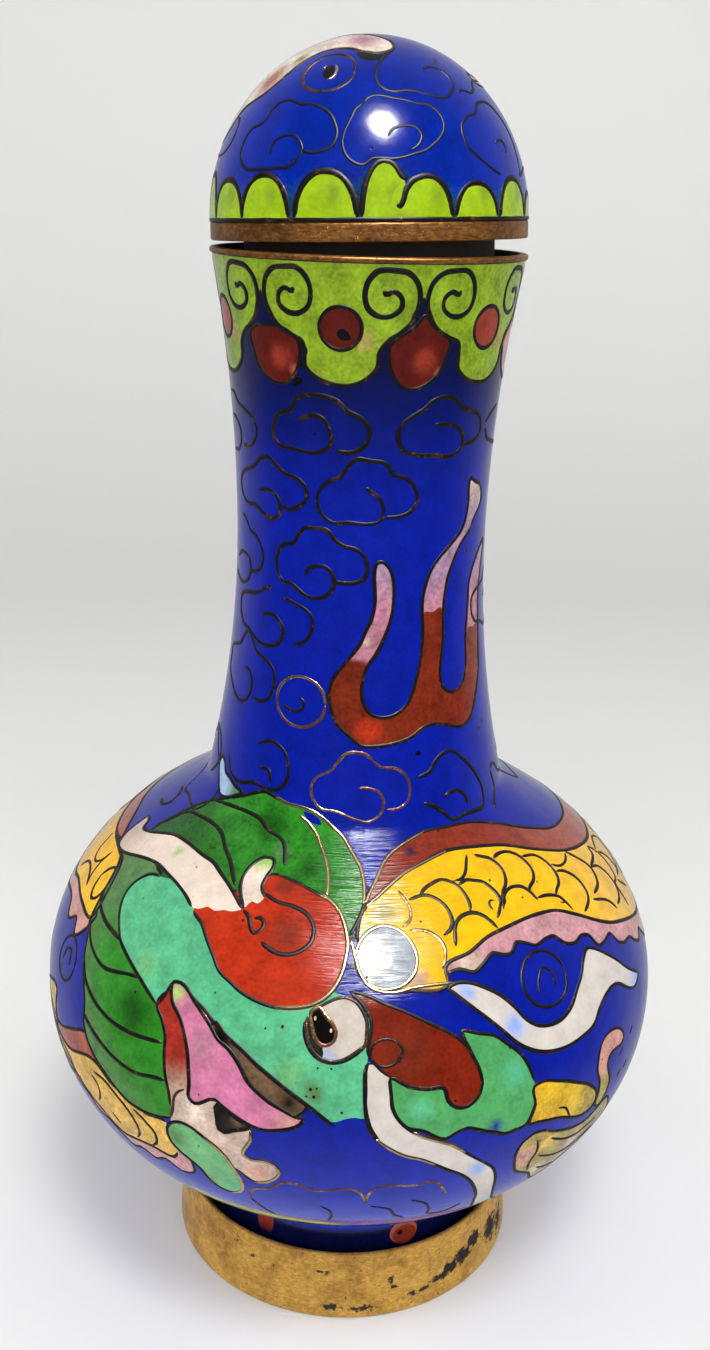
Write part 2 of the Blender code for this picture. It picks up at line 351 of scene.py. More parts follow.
# Lower coil of the body, running into a tail round the back
lowTop = [(-31, 28.1), (-35.5, 28), (-40, 28.5), (-44, 29.1), (-47.5, 29.9), (-60, 28.2), (-75, 28.4),
    (-90, 28), (-105, 27), (-120, 25.4), (-135, 23.6), (-150, 22.2)]
lowUnder = [(-150, 21.6), (-135, 21.8), (-120, 22.6), (-105, 23.7), (-90, 24.9), (-75, 25.8), (-58.5, 26.2),
    (-54, 25.3), (-49, 24.4), (-43, 23.3), (-40, 23.7), (-35.5, 24.1), (-30.5, 24.1), (-29, 26)]
cell(vase, "sandy", [(-47.5, 30.4), (-49, 31.3), (-51, 31.9), (-57, 30.9), (-62.5, 29.6), (-78, 29.8),
    (-95, 29.2), (-112, 27.8), (-130, 25.8), (-145, 23.9), (-150, 22.2), (-120, 25), (-90, 27.6),
    (-60, 28)], sand=0.6)
cell(vase, "serration", [(-58, 25.4), (-53, 24.6), (-51, 23.6), (-48, 23.7), (-45, 22.9), (-42, 22.1),
    (-39, 22.8), (-36, 22.3), (-33, 23.1), (-30, 22.3), (-27, 22.9), (-27, 25), (-45, 25.5), (-60, 27)],
    sand=0.6)
cell(vase, "dullYellow", lowTop + lowUnder, sand=0.65, washes=(("run", (-60, 27), (-110, 25), "legYellow"),))
wire(vase, black, [(-50, 28.2), (-48, 27.5), (-48, 26.4), (-49, 25.6)], [(-49, 28.7), (-46, 28.8),
    (-43, 28.2), (-40, 27.3), (-38, 26), (-38, 24.9), (-39, 24.2)], [(-38.2, 27.7), (-35.5, 27),
    (-33.7, 26.1), (-34, 24.9), (-35.5, 24.2)], [(-45, 25.4), (-43.2, 24.6)], *[[(turn - 4, 27.6),
    (turn + 1, 26.8), (turn + 1, 25.8), (turn - 3, 25)] for turn in (-60, -70, -80, -90)])
tail = [(-148, 22.5), (-156, 25.5), (-166, 27.5), (-178, 27.8), (-170, 25.8), (-182, 25), (-192, 23.2),
    (-181, 22.8), (-186, 20.6), (-172, 20.4), (-158, 19.6), (-149, 21.2)]
cell(vase, "green", tail, washes=(("run", (-160, 22), (-190, 24), "greyGreen"),))
wire(vase, brownWire, [(-150, 22.1), (-162, 23.6), (-174, 24)], [(-150, 21.8), (-162, 21.6), (-174, 21.9)])

# Mane
maneTop = [(-70, 46.5), (-67.9, 48), (-65, 49), (-60, 49.8), (-56.4, 50.2), (-50, 50.9), (-45, 51.4),
    (-40, 52), (-34.7, 52.4), (-30, 52.2), (-25, 51.9), (-20, 51.85), (-16.4, 51.7), (-11.3, 51.2),
    (-7.9, 50.6), (-3.9, 50), (0, 49), (2.3, 48.3), (3.4, 47.2), (3.1, 46.2), (1.5, 45.3), (0.4, 44.8)]
cell(vase, "green", maneTop + [(-5, 43.5), (-20, 43.5), (-50, 44.5), (-68, 45.4)], sand=0.7,
    washes=(("run", (-40, 50), (-62, 46), "darkGreen"), ("spot", (-30, 50), 9, "darkGreen"),
    ("spot", (-12, 48), 5, "darkGreen"), ("spot", (-22, 48.6), 4, "greyGreen")))
cell(vase, "cobalt", [(-18.4, 51.5), (-16, 51.45), (-11.8, 50.9), (-11.4, 50.6), (-14.5, 50.6),
    (-17.2, 51)], edge=None)
wire(vase, goldAndGlint, [(-20, 51.1), (-16.4, 50.6), (-13, 50), (-10.1, 49.2), (-7.9, 48.5), (-6.4, 47.6),
    (-6, 46.6)], width=0.38, lift=0.01)
wire(vase, goldAndGlint, maneTop[9:20], width=0.42, lift=0.02)
wire(vase, black, [(-69.5, 47), (-65, 48.4), (-60, 48.6), (-50, 48.7), (-45, 48.5), (-40, 47.9),
    (-36.4, 47.5), (-30, 46.3)], [(-60, 49.8), (-50, 50.1), (-40, 50.2), (-35.3, 50.1), (-30, 49.6),
    (-23.3, 49.2), (-19.3, 47.9)], width=0.44)
faceLine = [(-35.3, 37.8), (-37.6, 38.3), (-40, 38.8), (-43.9, 39.5), (-47, 40), (-50, 40.5), (-52.4, 41.2),
    (-55, 42), (-56.7, 42.8), (-57.2, 43.6), (-56.4, 44.3), (-54.1, 44.9), (-51.3, 45.05)]
cell(vase, "green", [(-70, 44.3), (-67.3, 43.7), (-65, 42.6), (-63.3, 41.1), (-62.1, 39.8), (-60, 38.9),
    (-57.6, 37.2), (-55.3, 35.9), (-53, 34.1), (-52.5, 32.7), (-51, 31.6), (-48.5, 30.5), (-45.5, 29.7),
    (-42.5, 28.9), (-39, 28.2), (-36, 28.1), (-32.5, 28.3), (-30, 28.8), (-28.8, 29.4), (-29.6, 31.2),
    (-30.6, 32.8), (-31.2, 34.3), (-31.7, 35.9), (-33.4, 37)] + faceLine + [(-60, 45.5), (-68, 45.2)],
    sand=0.4, washes=(("run", (-50, 38), (-66, 42), "greyGreen"),
    ("run", (-40, 34), (-48, 30), "greyGreen"), ("spot", (-40, 36.5), 6, "darkGreen")))
wire(vase, black, [(-65, 42.4), (-62.1, 41.3), (-57.6, 40.8), (-53, 40.6), (-49.5, 40.5)], [(-62, 40),
    (-59.3, 39.1), (-55.3, 38.4), (-50.7, 38.1), (-47.3, 38.4), (-43.9, 38.8), (-41, 39)], [(-58, 37.6),
    (-55.3, 36.3), (-51.3, 35.4), (-46, 34.8), (-42, 34.7), (-38.7, 34.8), (-32.4, 35.2)], [(-53.6, 33.7),
    (-50.7, 33), (-46, 32.2), (-41.6, 31.7), (-37, 31.6), (-33.6, 32), (-31, 32.2)], width=0.44)

# Face, jaw and tongue
mouthLine = [(-35.3, 37.8), (-34.4, 38.5), (-33.9, 39.2), (-33.3, 39.8), (-31.9, 39.9), (-30, 39.6),
    (-27.9, 39.1), (-26, 38.75), (-23.5, 38.1), (-20, 37.2), (-17.5, 36.6), (-15, 35.8), (-12, 34.9),
    (-9.5, 34.1), (-7, 33.3), (-4.75, 32.5), (-3, 31.8), (-1.5, 31.25)]
cell(vase, "jade", faceLine[::-1] + mouthLine[1:-1] + [(-1.5, 31.65), (0, 31.95), (1.5, 32.1), (3.2, 32),
    (3.2, 34), (3.4, 36.5), (4, 39.4), (2.4, 40.2), (0.4, 40.9), (-2, 41.2), (-5, 41.4), (-20, 44.5),
    (-40, 45.6)], edge=None, covers=True, sand=0.35, washes=(("spot", (-41, 40), 4, "ovalJade"),
    ("spot", (-9, 35.3), 4, "ovalJade"), ("spot", (-5, 34), 2.6, "greyGreen")))
wire(vase, black, faceLine, mouthLine, width=0.42)
cell(vase, "brown", [(-23.5, 38), (-20, 37.1), (-17.5, 36.5), (-15, 35.7), (-12, 34.8), (-9.5, 34),
    (-7, 33.2), (-6.1, 32.85), (-6.6, 32.3), (-8, 31.9), (-10, 32.35), (-12, 32.8), (-14, 33.45),
    (-16, 34.25), (-17, 34.95), (-18.25, 35.75), (-20, 36.45), (-22, 36.9), (-23.75, 37.65)], sand=0.6,
    washes=(("spot", (-21.5, 37.2), 4, "black"), ("spot", (-9, 33), 2.5, "black")))
cell(vase, "lipRed", [(-35.3, 37.8), (-33.6, 37), (-32.1, 35.9), (-31.6, 34.3), (-31, 32.8), (-30, 31.2),
    (-29.2, 29.7), (-27.5, 30), (-25, 31), (-26, 34), (-28, 37), (-32, 39.2), (-34, 39)], sand=0.5,
    washes=(("run", (-30.5, 34.5), (-29, 31.5), "lipBeige"),))
cell(vase, "beige", [(-29.3, 29.5), (-29.7, 28.8), (-29.7, 28.3), (-25, 27.6), (-21, 26), (-18, 25.4),
    (-16.7, 24.8), (-15, 24.2), (-13, 24.4), (-11.5, 25), (-10.5, 25.8), (-11.2, 26.7), (-13, 27),
    (-15.2, 26.9), (-16.5, 27.3), (-16.2, 27.9), (-15.2, 28.8), (-15, 30.2), (-20, 31.8), (-25, 32.4),
    (-28.6, 31.4)], edge=brownWire, sand=0.5, washes=(("spot", (-14, 25.4), 3, "toePink"),
    ("spot", (-25, 30.2), 3.2, "white")))
cell(vase, "pink", [(-33.3, 39.8), (-32.4, 38.5), (-30, 37.6), (-28.4, 36.5), (-27.3, 35.4), (-26.6, 34),
    (-26.2, 32.7), (-26, 31.4), (-25, 31.1), (-23.5, 31.45), (-22.25, 31.9), (-21.25, 32), (-20.25, 31.7),
    (-18.5, 31.2), (-16.5, 30.7), (-15, 30.4), (-13, 30.2), (-10.5, 30.4), (-8.5, 30.7), (-7, 31.2),
    (-6.5, 31.65), (-8, 31.85), (-10, 32.3), (-12, 32.75), (-14, 33.4), (-16, 34.2), (-17, 34.9),
    (-18.25, 35.7), (-20, 36.4), (-22, 36.85), (-23.75, 37.65), (-27.9, 39), (-31.9, 39.9)], sand=0.35,
    washes=(("spot", (-25, 36), 4, "flamePink"), ("spot", (-18, 33), 3, "petal"),
    ("spot", (-32, 39.2), 2.4, "limeTip"), ("spot", (-9, 31.4), 3, "toePink")))
cell(vase, "black", [(-20.9, 31.6), (-20.3, 31.5), (-18.5, 31), (-16.5, 30.5), (-15.1, 30.25),
    (-16.2, 29.9), (-18.2, 29.5), (-19.6, 29.1), (-20.6, 29.3), (-20.9, 30.2)], sand=1,
    washes=(("spot", (-17.4, 30.4), 1.8, "brown"),))
wire(vase, goldAndGlint, [(-15.2, 29.9), (-15.2, 28.8), (-16.2, 27.9), (-16.5, 27.3), (-15.2, 26.9), (-13, 27),
    (-11.2, 26.7), (-10.5, 25.8), (-11.5, 25), (-13, 24.4), (-15, 24.2)], lift=0.02)
cell(vase, "ovalJade", [(-30.5, 26.4), (-30.7, 27.5), (-29.7, 28.3), (-28, 28.7), (-25.7, 28.6),
    (-23.5, 28), (-21.5, 27.4), (-19.7, 26.5), (-18.5, 25.3), (-17.5, 24), (-17.5, 22.9), (-18.5, 22),
    (-20.2, 21.6), (-22.5, 21.9), (-24, 22.7), (-25, 23.8), (-27, 24.7), (-29, 25.4)],
    washes=(("spot", (-19, 23), 3, "jade"), ("spot", (-29, 27), 3, "greyGreen")))
wire(vase, goldAndGlint, [(-23.5, 28), (-21.5, 27.4), (-19.7, 26.5), (-18.5, 25.3), (-17.5, 24), (-17.5, 22.9),
    (-18.5, 22), (-20.2, 21.6)], lift=0.02)

# Horns, brow and eye
cell(vase, "red", [(-36.4, 44.3), (-33, 43.8), (-30, 43), (-27.3, 42.2), (-25, 41.4), (-22.1, 40.9),
    (-19.9, 40.5), (-16.4, 40.1), (-13, 39.9), (-10, 40), (-6.1, 40.4), (-3.3, 41.2), (-1.6, 42.2),
    (-0.7, 43.3), (-0.4, 44.1), (-1, 45), (-2.7, 45.9), (-5, 46.4), (-8.4, 46.7), (-13.6, 47.1),
    (-17.6, 47.3), (-21.6, 47.35), (-25, 46.5), (-30, 46), (-36, 46)], sand=0.4,
    washes=(("spot", (-14, 44.4), 6, "brick"), ("spot", (-17, 46.8), 4, "brick")))
horn = [(-78.7, 46.4), (-76.4, 46.4), (-74, 46), (-70, 46.2), (-65, 46.7), (-60, 47.1), (-50, 47.2),
    (-45, 47.1), (-40, 47), (-36.4, 46.7), (-32.4, 46.3), (-30, 46), (-27.3, 45.6), (-25.4, 45.25),
    (-27.5, 44.95), (-29.5, 44.9), (-31.5, 44.7), (-33.5, 44.8), (-35.5, 44.5), (-37.5, 44.45), (-40, 44.8),
    (-45, 45.2), (-50, 45.4), (-55, 45.5), (-60, 45.3), (-65, 44.9), (-67.9, 44.6), (-71.9, 44.3),
    (-75.9, 44.3), (-77.6, 44.8), (-78.5, 45.8), (-78.7, 46.4)]
cell(vase, "white", horn[:-1], edge=None, covers=True, sand=0.12,
    washes=(("run", (-66, 45.5), (-78, 45.5), "beige"), ("spot", (-53, 46.6), 2.2, "limeTip")))
shortHorn = [(-25, 45.3), (-27.3, 45.9), (-28.7, 46.4), (-29.3, 47.2), (-28.4, 47.7), (-26.1, 48.1),
    (-23.3, 48.1), (-22.4, 47.7), (-23, 47.2), (-23, 46.6), (-21.3, 46.1)]
cell(vase, "white", shortHorn + [(-22.4, 45.7), (-23.8, 45.75)], edge=None, covers=True,
    washes=(("run", (-26, 47.1), (-26, 48), "limeTip"),))
wire(vase, black, horn[:14], horn[19:], shortHorn, width=0.42)
wire(vase, black, [(-21.6, 46.3), (-17.6, 46), (-13.6, 45.9), (-10.1, 45.6), (-8.1, 45), (-8.1, 44.1),
    (-10.1, 43.5), (-13.6, 43.2), (-16.4, 43.4), (-18.4, 43.7)], [(-25, 45.2), (-23, 44.9), (-21.8, 44.4),
    (-20.6, 44.1), (-19.4, 44.3), (-19.2, 44.8), (-20.4, 45), (-21.6, 44.9)], width=0.42)
wire(vase, goldAndGlint, [(-13, 39.9), (-10, 40), (-6.1, 40.4), (-3.3, 41.2), (-1.6, 42.2), (-0.7, 43.3),
    (-0.4, 44.1), (-1, 45), (-2.7, 45.9), (-5, 46.4), (-8.4, 46.7)], width=0.42, lift=0.02)
cell(vase, "ball", [(-6.3, 39.9), (-4.4, 40.4), (-2.5, 40.8), (-0.5, 40.95), (1.3, 40.7), (2.8, 40),
    (3.4, 39.3), (3.3, 38.5), (3.1, 37.8), (1.5, 37.2), (-0.3, 36.7), (-2, 36.5), (-3.8, 36.6), (-5.3, 37),
    (-6.6, 37.8), (-7.1, 38.8), (-6.9, 39.5)], edge=brownWire, sand=0.15,
    washes=(("spot", (-3.5, 36.9), 2, "paleBlue"),))
cell(vase, "pit", [(-6.5, 39.8), (-5.6, 40), (-5, 38.6), (-4, 37.6), (-4, 36.7), (-5.3, 37), (-6.6, 37.8),
    (-7.1, 38.8)], edge=None, sand=0.6)
cell(vase, "black", [(-6.4, 39.9), (-5, 40.25), (-4, 39.8), (-2.75, 39.3), (-1.9, 38.7), (-2.1, 38.1),
    (-3, 37.75), (-4.25, 37.7), (-5.25, 38.1), (-6, 38.9)], edge=copperAndGlint, sand=0)
# two pale dots in the pupil: painted highlights
for a, z in ((-5.6, 39.5), (-2.75, 38.75)):
    cell(vase, "ball", oval((a, z), 0.22, 0.16, 6), edge=None)
wire(vase, goldAndGlint, [(-7, 39.3), (-6.9, 38.7), (-6.3, 38.1)], [(-6.3, 39.2), (-6, 38.7), (-5.6, 38.1)],
    width=0.2)
wire(vase, black, [(-7.4, 39.2), (-7.1, 38.4), (-6.5, 37.7), (-5.2, 36.95), (-3.8, 36.6), (-2, 36.5),
    (-0.3, 36.7), (1.5, 37.2), (3, 37.75)], width=0.5)
for a, z, size in ((-11.1, 38.7, 0.3), (-14, 38.4, 0.2), (-4.6, 36, 0.2), (-2.4, 36, 0.2),
        (-0.5, 32.5, 0.25), (-24.5, 40, 0.2), (-5.6, 34.3, 0.3), (-5, 33.7, 0.3), (-6.2, 33.7, 0.2),
        (-4.6, 34.4, 0.2)):
    cell(vase, "pit", oval((a, z), size, size * 0.5, 6), edge=None)

# White pearl where the ridge, mane and brow meet
cell(vase, "pearl", oval((7.4, 43.3), 6.2, 1.85), edge=goldAndGlint, sand=0.3,
    washes=(("spot", (4, 43.4), 6, "white"),))
wire(vase, goldAndGlint, [(0.2, 44.5), (1.2, 43.4), (2.4, 42.3), (4, 41.6), (6.4, 41.3), (9, 41.25), (12, 41.45),
    (16, 41.5), (20, 41.45)], lift=0.01)
cell(vase, "black", oval((0.2, 44.5), 1.1, 0.42), edge=None)
for a, z, size in ((0.6, 42.9, 0.5), (1.8, 43.9, 0.3), (3.4, 42.2, 0.25), (4.6, 46.9, 0.3),
        (2.6, 47.9, 0.25)):
    cell(vase, "black", oval((a, z), size, size * 0.45, 6), edge=None)

# Nose and whiskers
cell(vase, "whisker", [(18.7, 41.15), (20.4, 41.4), (22.9, 41.3), (25.7, 40.8), (28.6, 40), (30.9, 38.9),
    (32.6, 37.8), (34.3, 37.2), (37.1, 36.8), (40, 36.8), (42.9, 37.3), (45.7, 38.3), (48, 39),
    (50.3, 39.9), (52.9, 40.4), (55, 40), (57.7, 39.1), (60.6, 38), (63.4, 36.7), (65.7, 35.9), (68, 35.1),
    (64.6, 34.6), (62.9, 34.9), (60.6, 35.6), (58.3, 36.4), (55.7, 36.7), (53.1, 36.5), (50.3, 35.9),
    (48, 35), (44, 34.6), (40, 34.5), (36.6, 34.7), (33.1, 35.3), (30, 36.3), (27.4, 37.6), (25, 38.7),
    (21.7, 40), (19.6, 40.8)], sand=0.1, washes=(("run", (62, 36.2), (68, 35.2), "skyTip"),
    ("spot", (22, 40.8), 2.4, "skyTip"), ("spot", (30, 37.6), 3, "skyTip")))
cell(vase, "whisker", [(3.7, 36.5), (3.2, 34), (3.2, 32.7), (3.7, 31.4), (5, 30.1), (7.5, 29), (10, 28.2),
    (12.5, 27.7), (15, 26.9), (17.5, 26), (20, 25.1), (22, 24), (23.5, 22.7), (24.7, 21.4), (25.5, 19.9),
    (26.5, 18.6), (28, 17.3), (30, 15.6), (33, 14), (38, 13.2), (37.5, 14.6), (36, 16), (34, 17.3),
    (32.5, 17.9), (30.5, 19), (29, 20.5), (28, 22), (27.2, 23.6), (26, 24.9), (24.5, 25.7), (22, 26.8),
    (20, 27.7), (17.5, 28.8), (15.5, 29.3), (13, 29.9), (11, 30.5), (8.7, 31.6), (7.5, 32.9), (7.2, 35.3)],
    sand=0.1, washes=(("spot", (23, 25.3), 2.6, "skyTip"), ("run", (6, 33), (4, 36.5), "ball"),
    ("run", (27, 21), (30, 16), "paleBlue")))
wire(vase, goldAndGlint, [(5, 30.1), (7.5, 29), (10, 28.2), (12.5, 27.7), (15, 26.9)], [(11, 30.5), (13, 29.9),
    (15.5, 29.3), (17.5, 28.8), (20, 27.7)], lift=0.02)
cell(vase, "ridgeRed", [(0.5, 41.3), (3.4, 41.1), (6.3, 40.6), (10, 40), (13.7, 39.2), (16.6, 38.5),
    (19.4, 37.6), (21.1, 36.5), (22.3, 35), (22.6, 33.9), (21.7, 32.8), (20, 32.2), (18, 32.3), (16.6, 33),
    (16, 34.1), (13.1, 34.2), (10, 34.6), (7.4, 35.3), (4.9, 36.3), (3.5, 37.3), (3.9, 38.3), (4.1, 39.5),
    (2.5, 40.6)], sand=0.45, washes=(("spot", (10, 37), 7, "flameRed"),))
wire(vase, black, [(8.9, 36.6), (9.4, 37.2), (8.6, 37.9), (6.6, 38.2), (4.6, 37.9), (3.9, 37.2),
    (4.8, 36.4), (7, 36.2), (8.6, 36.7), (8.8, 37.2)], width=0.3)
wire(vase, black, [(3, 36.1), (3.05, 34.8), (3.1, 33.5), (3.5, 32.1), (4.25, 30.9), (5.5, 30)], width=0.46)
cell(vase, "noseJade", [(20, 38.2), (22.9, 37.8), (25.7, 37.4), (28, 36.5), (30.3, 35.4), (31.7, 34.1),
    (32.5, 32.8), (32.8, 31.3), (32.3, 29.9), (31, 28.8), (29, 28.7), (27, 28.6), (25.5, 29), (23.5, 29.4),
    (21.5, 29.9), (20, 30.2), (18, 29.9), (16.3, 29.5), (14.5, 29.9), (12.5, 30.6), (10, 31), (8.5, 31.8),
    (7.5, 32.9), (7.3, 34), (7.2, 35.3), (10, 34.6), (13.1, 34.2), (16, 34.1), (16.6, 33), (18, 32.3),
    (20, 32.2), (21.7, 32.8), (22.6, 33.9), (22.3, 35), (21.1, 36.5)],
    washes=(("spot", (25.2, 29.5), 1.9, "cobalt"), ("spot", (29, 34), 4, "jade"),
    ("spot", (12, 32.5), 3, "jade")))
wire(vase, black, oval((39.1, 40), 5.4, 1.95, 10) + [(44.5, 40)], [(36.6, 39.3), (38, 40.4), (39.4, 40.8),
    (41.1, 40.2), (40.9, 39.3)])

# Foreleg and claws, and another leg on the hidden side
leg = [(32.5, 32.3), (35, 32.4), (37.5, 31.9), (40, 31.4), (42.5, 30.7), (45, 30), (47, 29.2), (48.7, 28.2),
    (49, 27.3), (48, 26.6), (46.2, 26.5), (44, 26.7), (41.5, 27.3), (39, 27.9), (36, 28.3), (33.5, 28.6),
    (32, 28.7), (32.8, 30.5)]
upperToe = [(48.5, 31.8), (49.2, 32.7), (50.5, 33.2), (53, 33.3), (55.5, 32.9), (57.2, 32.1), (57.5, 31.5),
    (56.5, 31.1), (54, 31.2), (52, 31), (51.5, 30.3), (52.2, 29.4), (53, 28.4), (52.6, 27), (51, 26),
    (49.2, 26.6), (49.5, 27.9), (49.2, 29.2), (48.2, 30.5)]
claws = [(30.5, 24.6), (30.2, 25.7), (31, 26.8), (33, 27.4), (35.5, 27.3), (38, 26.6), (41, 26), (44, 25.5),
    (48, 25.3), (51, 25.8), (53.4, 26.2), (56.5, 24.6), (58.5, 22.6), (57.5, 21.3), (54, 21.9), (50, 21.4),
    (46, 20.6), (43.5, 19), (40, 19.4), (38, 20.3), (36.5, 21.4), (34, 22.3), (31.5, 23.3)]


def shiftedPoint(a, z, move):
    return shifted([(a, z)], **move)[0]


for turn, mirror in ((0, None), (158, None), (236, 45)):
    move = dict(turn=turn, mirror=mirror)
    cell(vase, "olive", shifted(claws, **move), sand=0.7, washes=[
        ("spot", shiftedPoint(a, z, move), reach, tone) for a, z, reach, tone in (
            (32, 24.8, 4, "toePink"), (37, 25.6, 3, "dullYellow"), (45, 23, 4, "beige"), (53, 23, 4, "brown"),
            (38, 21.6, 3, "cream"))])
    wire(vase, black, *[shifted(line, **move) for line in ([(34.5, 26.4), (35.2, 25), (34.4, 23.6),
        (35, 22.4)], [(38, 25.8), (42, 24.6), (46, 24), (52, 24.2)], [(36.4, 24), (41, 22.8), (46, 22.2),
        (53, 22.8)], [(37.6, 22), (41, 21), (44, 20.6)])])
    cell(vase, "toePink", shifted(upperToe, **move), sand=0.6,
        washes=(("run", shiftedPoint(50, 30.6, move), shiftedPoint(51, 28.6, move), "olive"),))
    cell(vase, "legYellow", shifted(leg, **move), sand=0.6,
        washes=(("run", shiftedPoint(40, 29.5, move), shiftedPoint(49, 27.5, move), "olive"),))
    wire(vase, black, shifted([(38.2, 29.1), (40, 28.7), (41, 27.9), (41.5, 27.4)], **move), width=0.28)
wire(vase, black, *[[(a, z), (a + 1.2, z + 0.5)] for a, z in ((56, 30), (59, 27.8), (60.5, 31),
    (56.5, 27.6))], width=0.3)

# Coil mark at the left, bottom clouds, horn tip on the shoulder
wire(vase, black, oval((-64.4, 35.9), 4.3, 1.9, 10) + [(-60.1, 35.9)], [(-66.4, 35.4), (-65.6, 36.6),
    (-63.6, 36.8), (-62.6, 35.7)])
cell(vase, "black", oval((-66.1, 34.7), 0.9, 0.35), edge=None)
wire(vase, copperAndGlint, [(-16.5, 21.4), (-16.2, 22.5), (-15, 23.2), (-12.2, 23.7), (-11, 24.4), (-8.5, 24.8),
    (-6.2, 24.5), (-4.7, 24.2), (0, 24.6), (1.5, 24.6), (3, 24), (3.7, 23.1), (4, 22.3)], [(4, 22.7),
    (4.5, 24), (6, 24.8), (8, 24.9), (12, 24.7), (15.5, 24.8), (17, 23.8), (18.2, 22.8)], width=0.3)
wire(vase, black, [(-3.7, 21.8), (-2.2, 21), (-2, 19.9), (-2.7, 18.8)], [(12, 22.5), (14.5, 21.8),
    (16, 20.5), (16.5, 19.2), (20, 19), (22.5, 20.1)], [(5, 22), (8.5, 21.2), (9.5, 20.1), (12, 19)],
    [(-16.5, 21.4), (-15, 20), (-13, 18.6)], width=0.28)
cell(vase, "paleBlue", [(-66.7, 53), (-65, 53.4), (-62.1, 53.1), (-59.9, 52.4), (-56.4, 52.2),
    (-51.9, 51.8), (-46.7, 51.5), (-50.7, 50.9), (-55.3, 50.4), (-60, 50.3), (-63.3, 50.9), (-65.3, 51.7)],
    washes=(("run", (-58, 51.6), (-49, 51.2), "greyGreen"),))

# Neck: the flame, then clouds that are only outlined in wire
cell(vase, "flameRed", [(9.1, 57.5), (2.1, 57.6), (-2.6, 58.4), (-7.4, 59.3), (-10.3, 60.6), (-11.5, 62),
    (-9.7, 63.4), (-6.2, 64.4), (-2.6, 65.4), (0.9, 66.4), (3.2, 67.5), (5.6, 68.6), (6.8, 70), (6.5, 71.3),
    (6.2, 72.5), (7.4, 73.4), (9.1, 73.5), (12.1, 73.1), (14.4, 72), (15, 70.4), (14.4, 69), (12.6, 67.7),
    (10.3, 66.5), (7.4, 65.4), (4.4, 64.5), (2.6, 63.4), (2.1, 62.2), (3.2, 61.1), (6.2, 60.3), (10.3, 60),
    (16.2, 60.2), (20.9, 60.9), (23.8, 62), (25.6, 63.1), (27.4, 64.3), (28.5, 65.9), (28.9, 67.2),
    (28.5, 69.7), (29.7, 71.1), (32.6, 72.5), (37.4, 73.6), (43.2, 74.5), (49.1, 75.4), (51.5, 76),
    (53.2, 77), (53.8, 77.9), (53.2, 79), (53.8, 79.9), (58.5, 79.5), (63.8, 79), (66.2, 77.9), (64.4, 77),
    (60.9, 76.5), (56.2, 75.3), (50.3, 74.4), (45.6, 73.1), (42.6, 71.8), (40.6, 70.2), (39.9, 68.4),
    (39.7, 66.1), (38.5, 64.5), (37.9, 63.1), (39.1, 62), (43.2, 61.4), (47.9, 61.4), (52.1, 62),
    (54.4, 62.9), (55, 64), (55, 65.6), (56.2, 67.2), (57.4, 69), (57.9, 70.4), (60.3, 71.5), (64.4, 72.5),
    (69.1, 73.3), (74.7, 73.8), (71.5, 71.3), (69.1, 69.5), (68.5, 67.5), (68.5, 65.6), (67.9, 63.8),
    (66.8, 62.2), (63.8, 60.9), (60.3, 59.7), (56.2, 58.6), (50.3, 58), (44.4, 58.2), (38.5, 58.7),
    (32.6, 58.9), (27.9, 58.7), (23.2, 58.1), (16.2, 57.7)], sand=0.6,
    washes=(("run", (0, 64.8), (0.4, 65.2), "flamePink"), ("run", (9, 69), (10, 73), "mauve"),
    ("spot", (7, 69), 4, "petal"), ("spot", (4, 66.6), 3, "beige"), ("run", (60, 76), (60, 80), "beige"),
    ("spot", (5, 59), 8, "red"), ("spot", (48, 60), 9, "ridgeRed")))
cell(vase, "flameRed", [(24.6, 62.6), (27.2, 63.8), (28.6, 65), (29, 66.2), (29.2, 67.4), (29, 68.4),
    (29.8, 68.9), (34, 68.8), (38, 69.1), (39.6, 68.9), (39.5, 67.6), (39.3, 66), (38.1, 64.6), (37.6, 63),
    (34, 62)], edge=None, sand=0.6)
cell(vase, "flameRed", [(55.3, 64.4), (55.4, 65.2), (56, 66), (57.5, 66.5), (62, 66.4), (68, 66.6),
    (68.4, 65.6), (67.8, 64), (66.4, 62.6), (60, 61.6), (55.4, 63)], edge=None, sand=0.6)
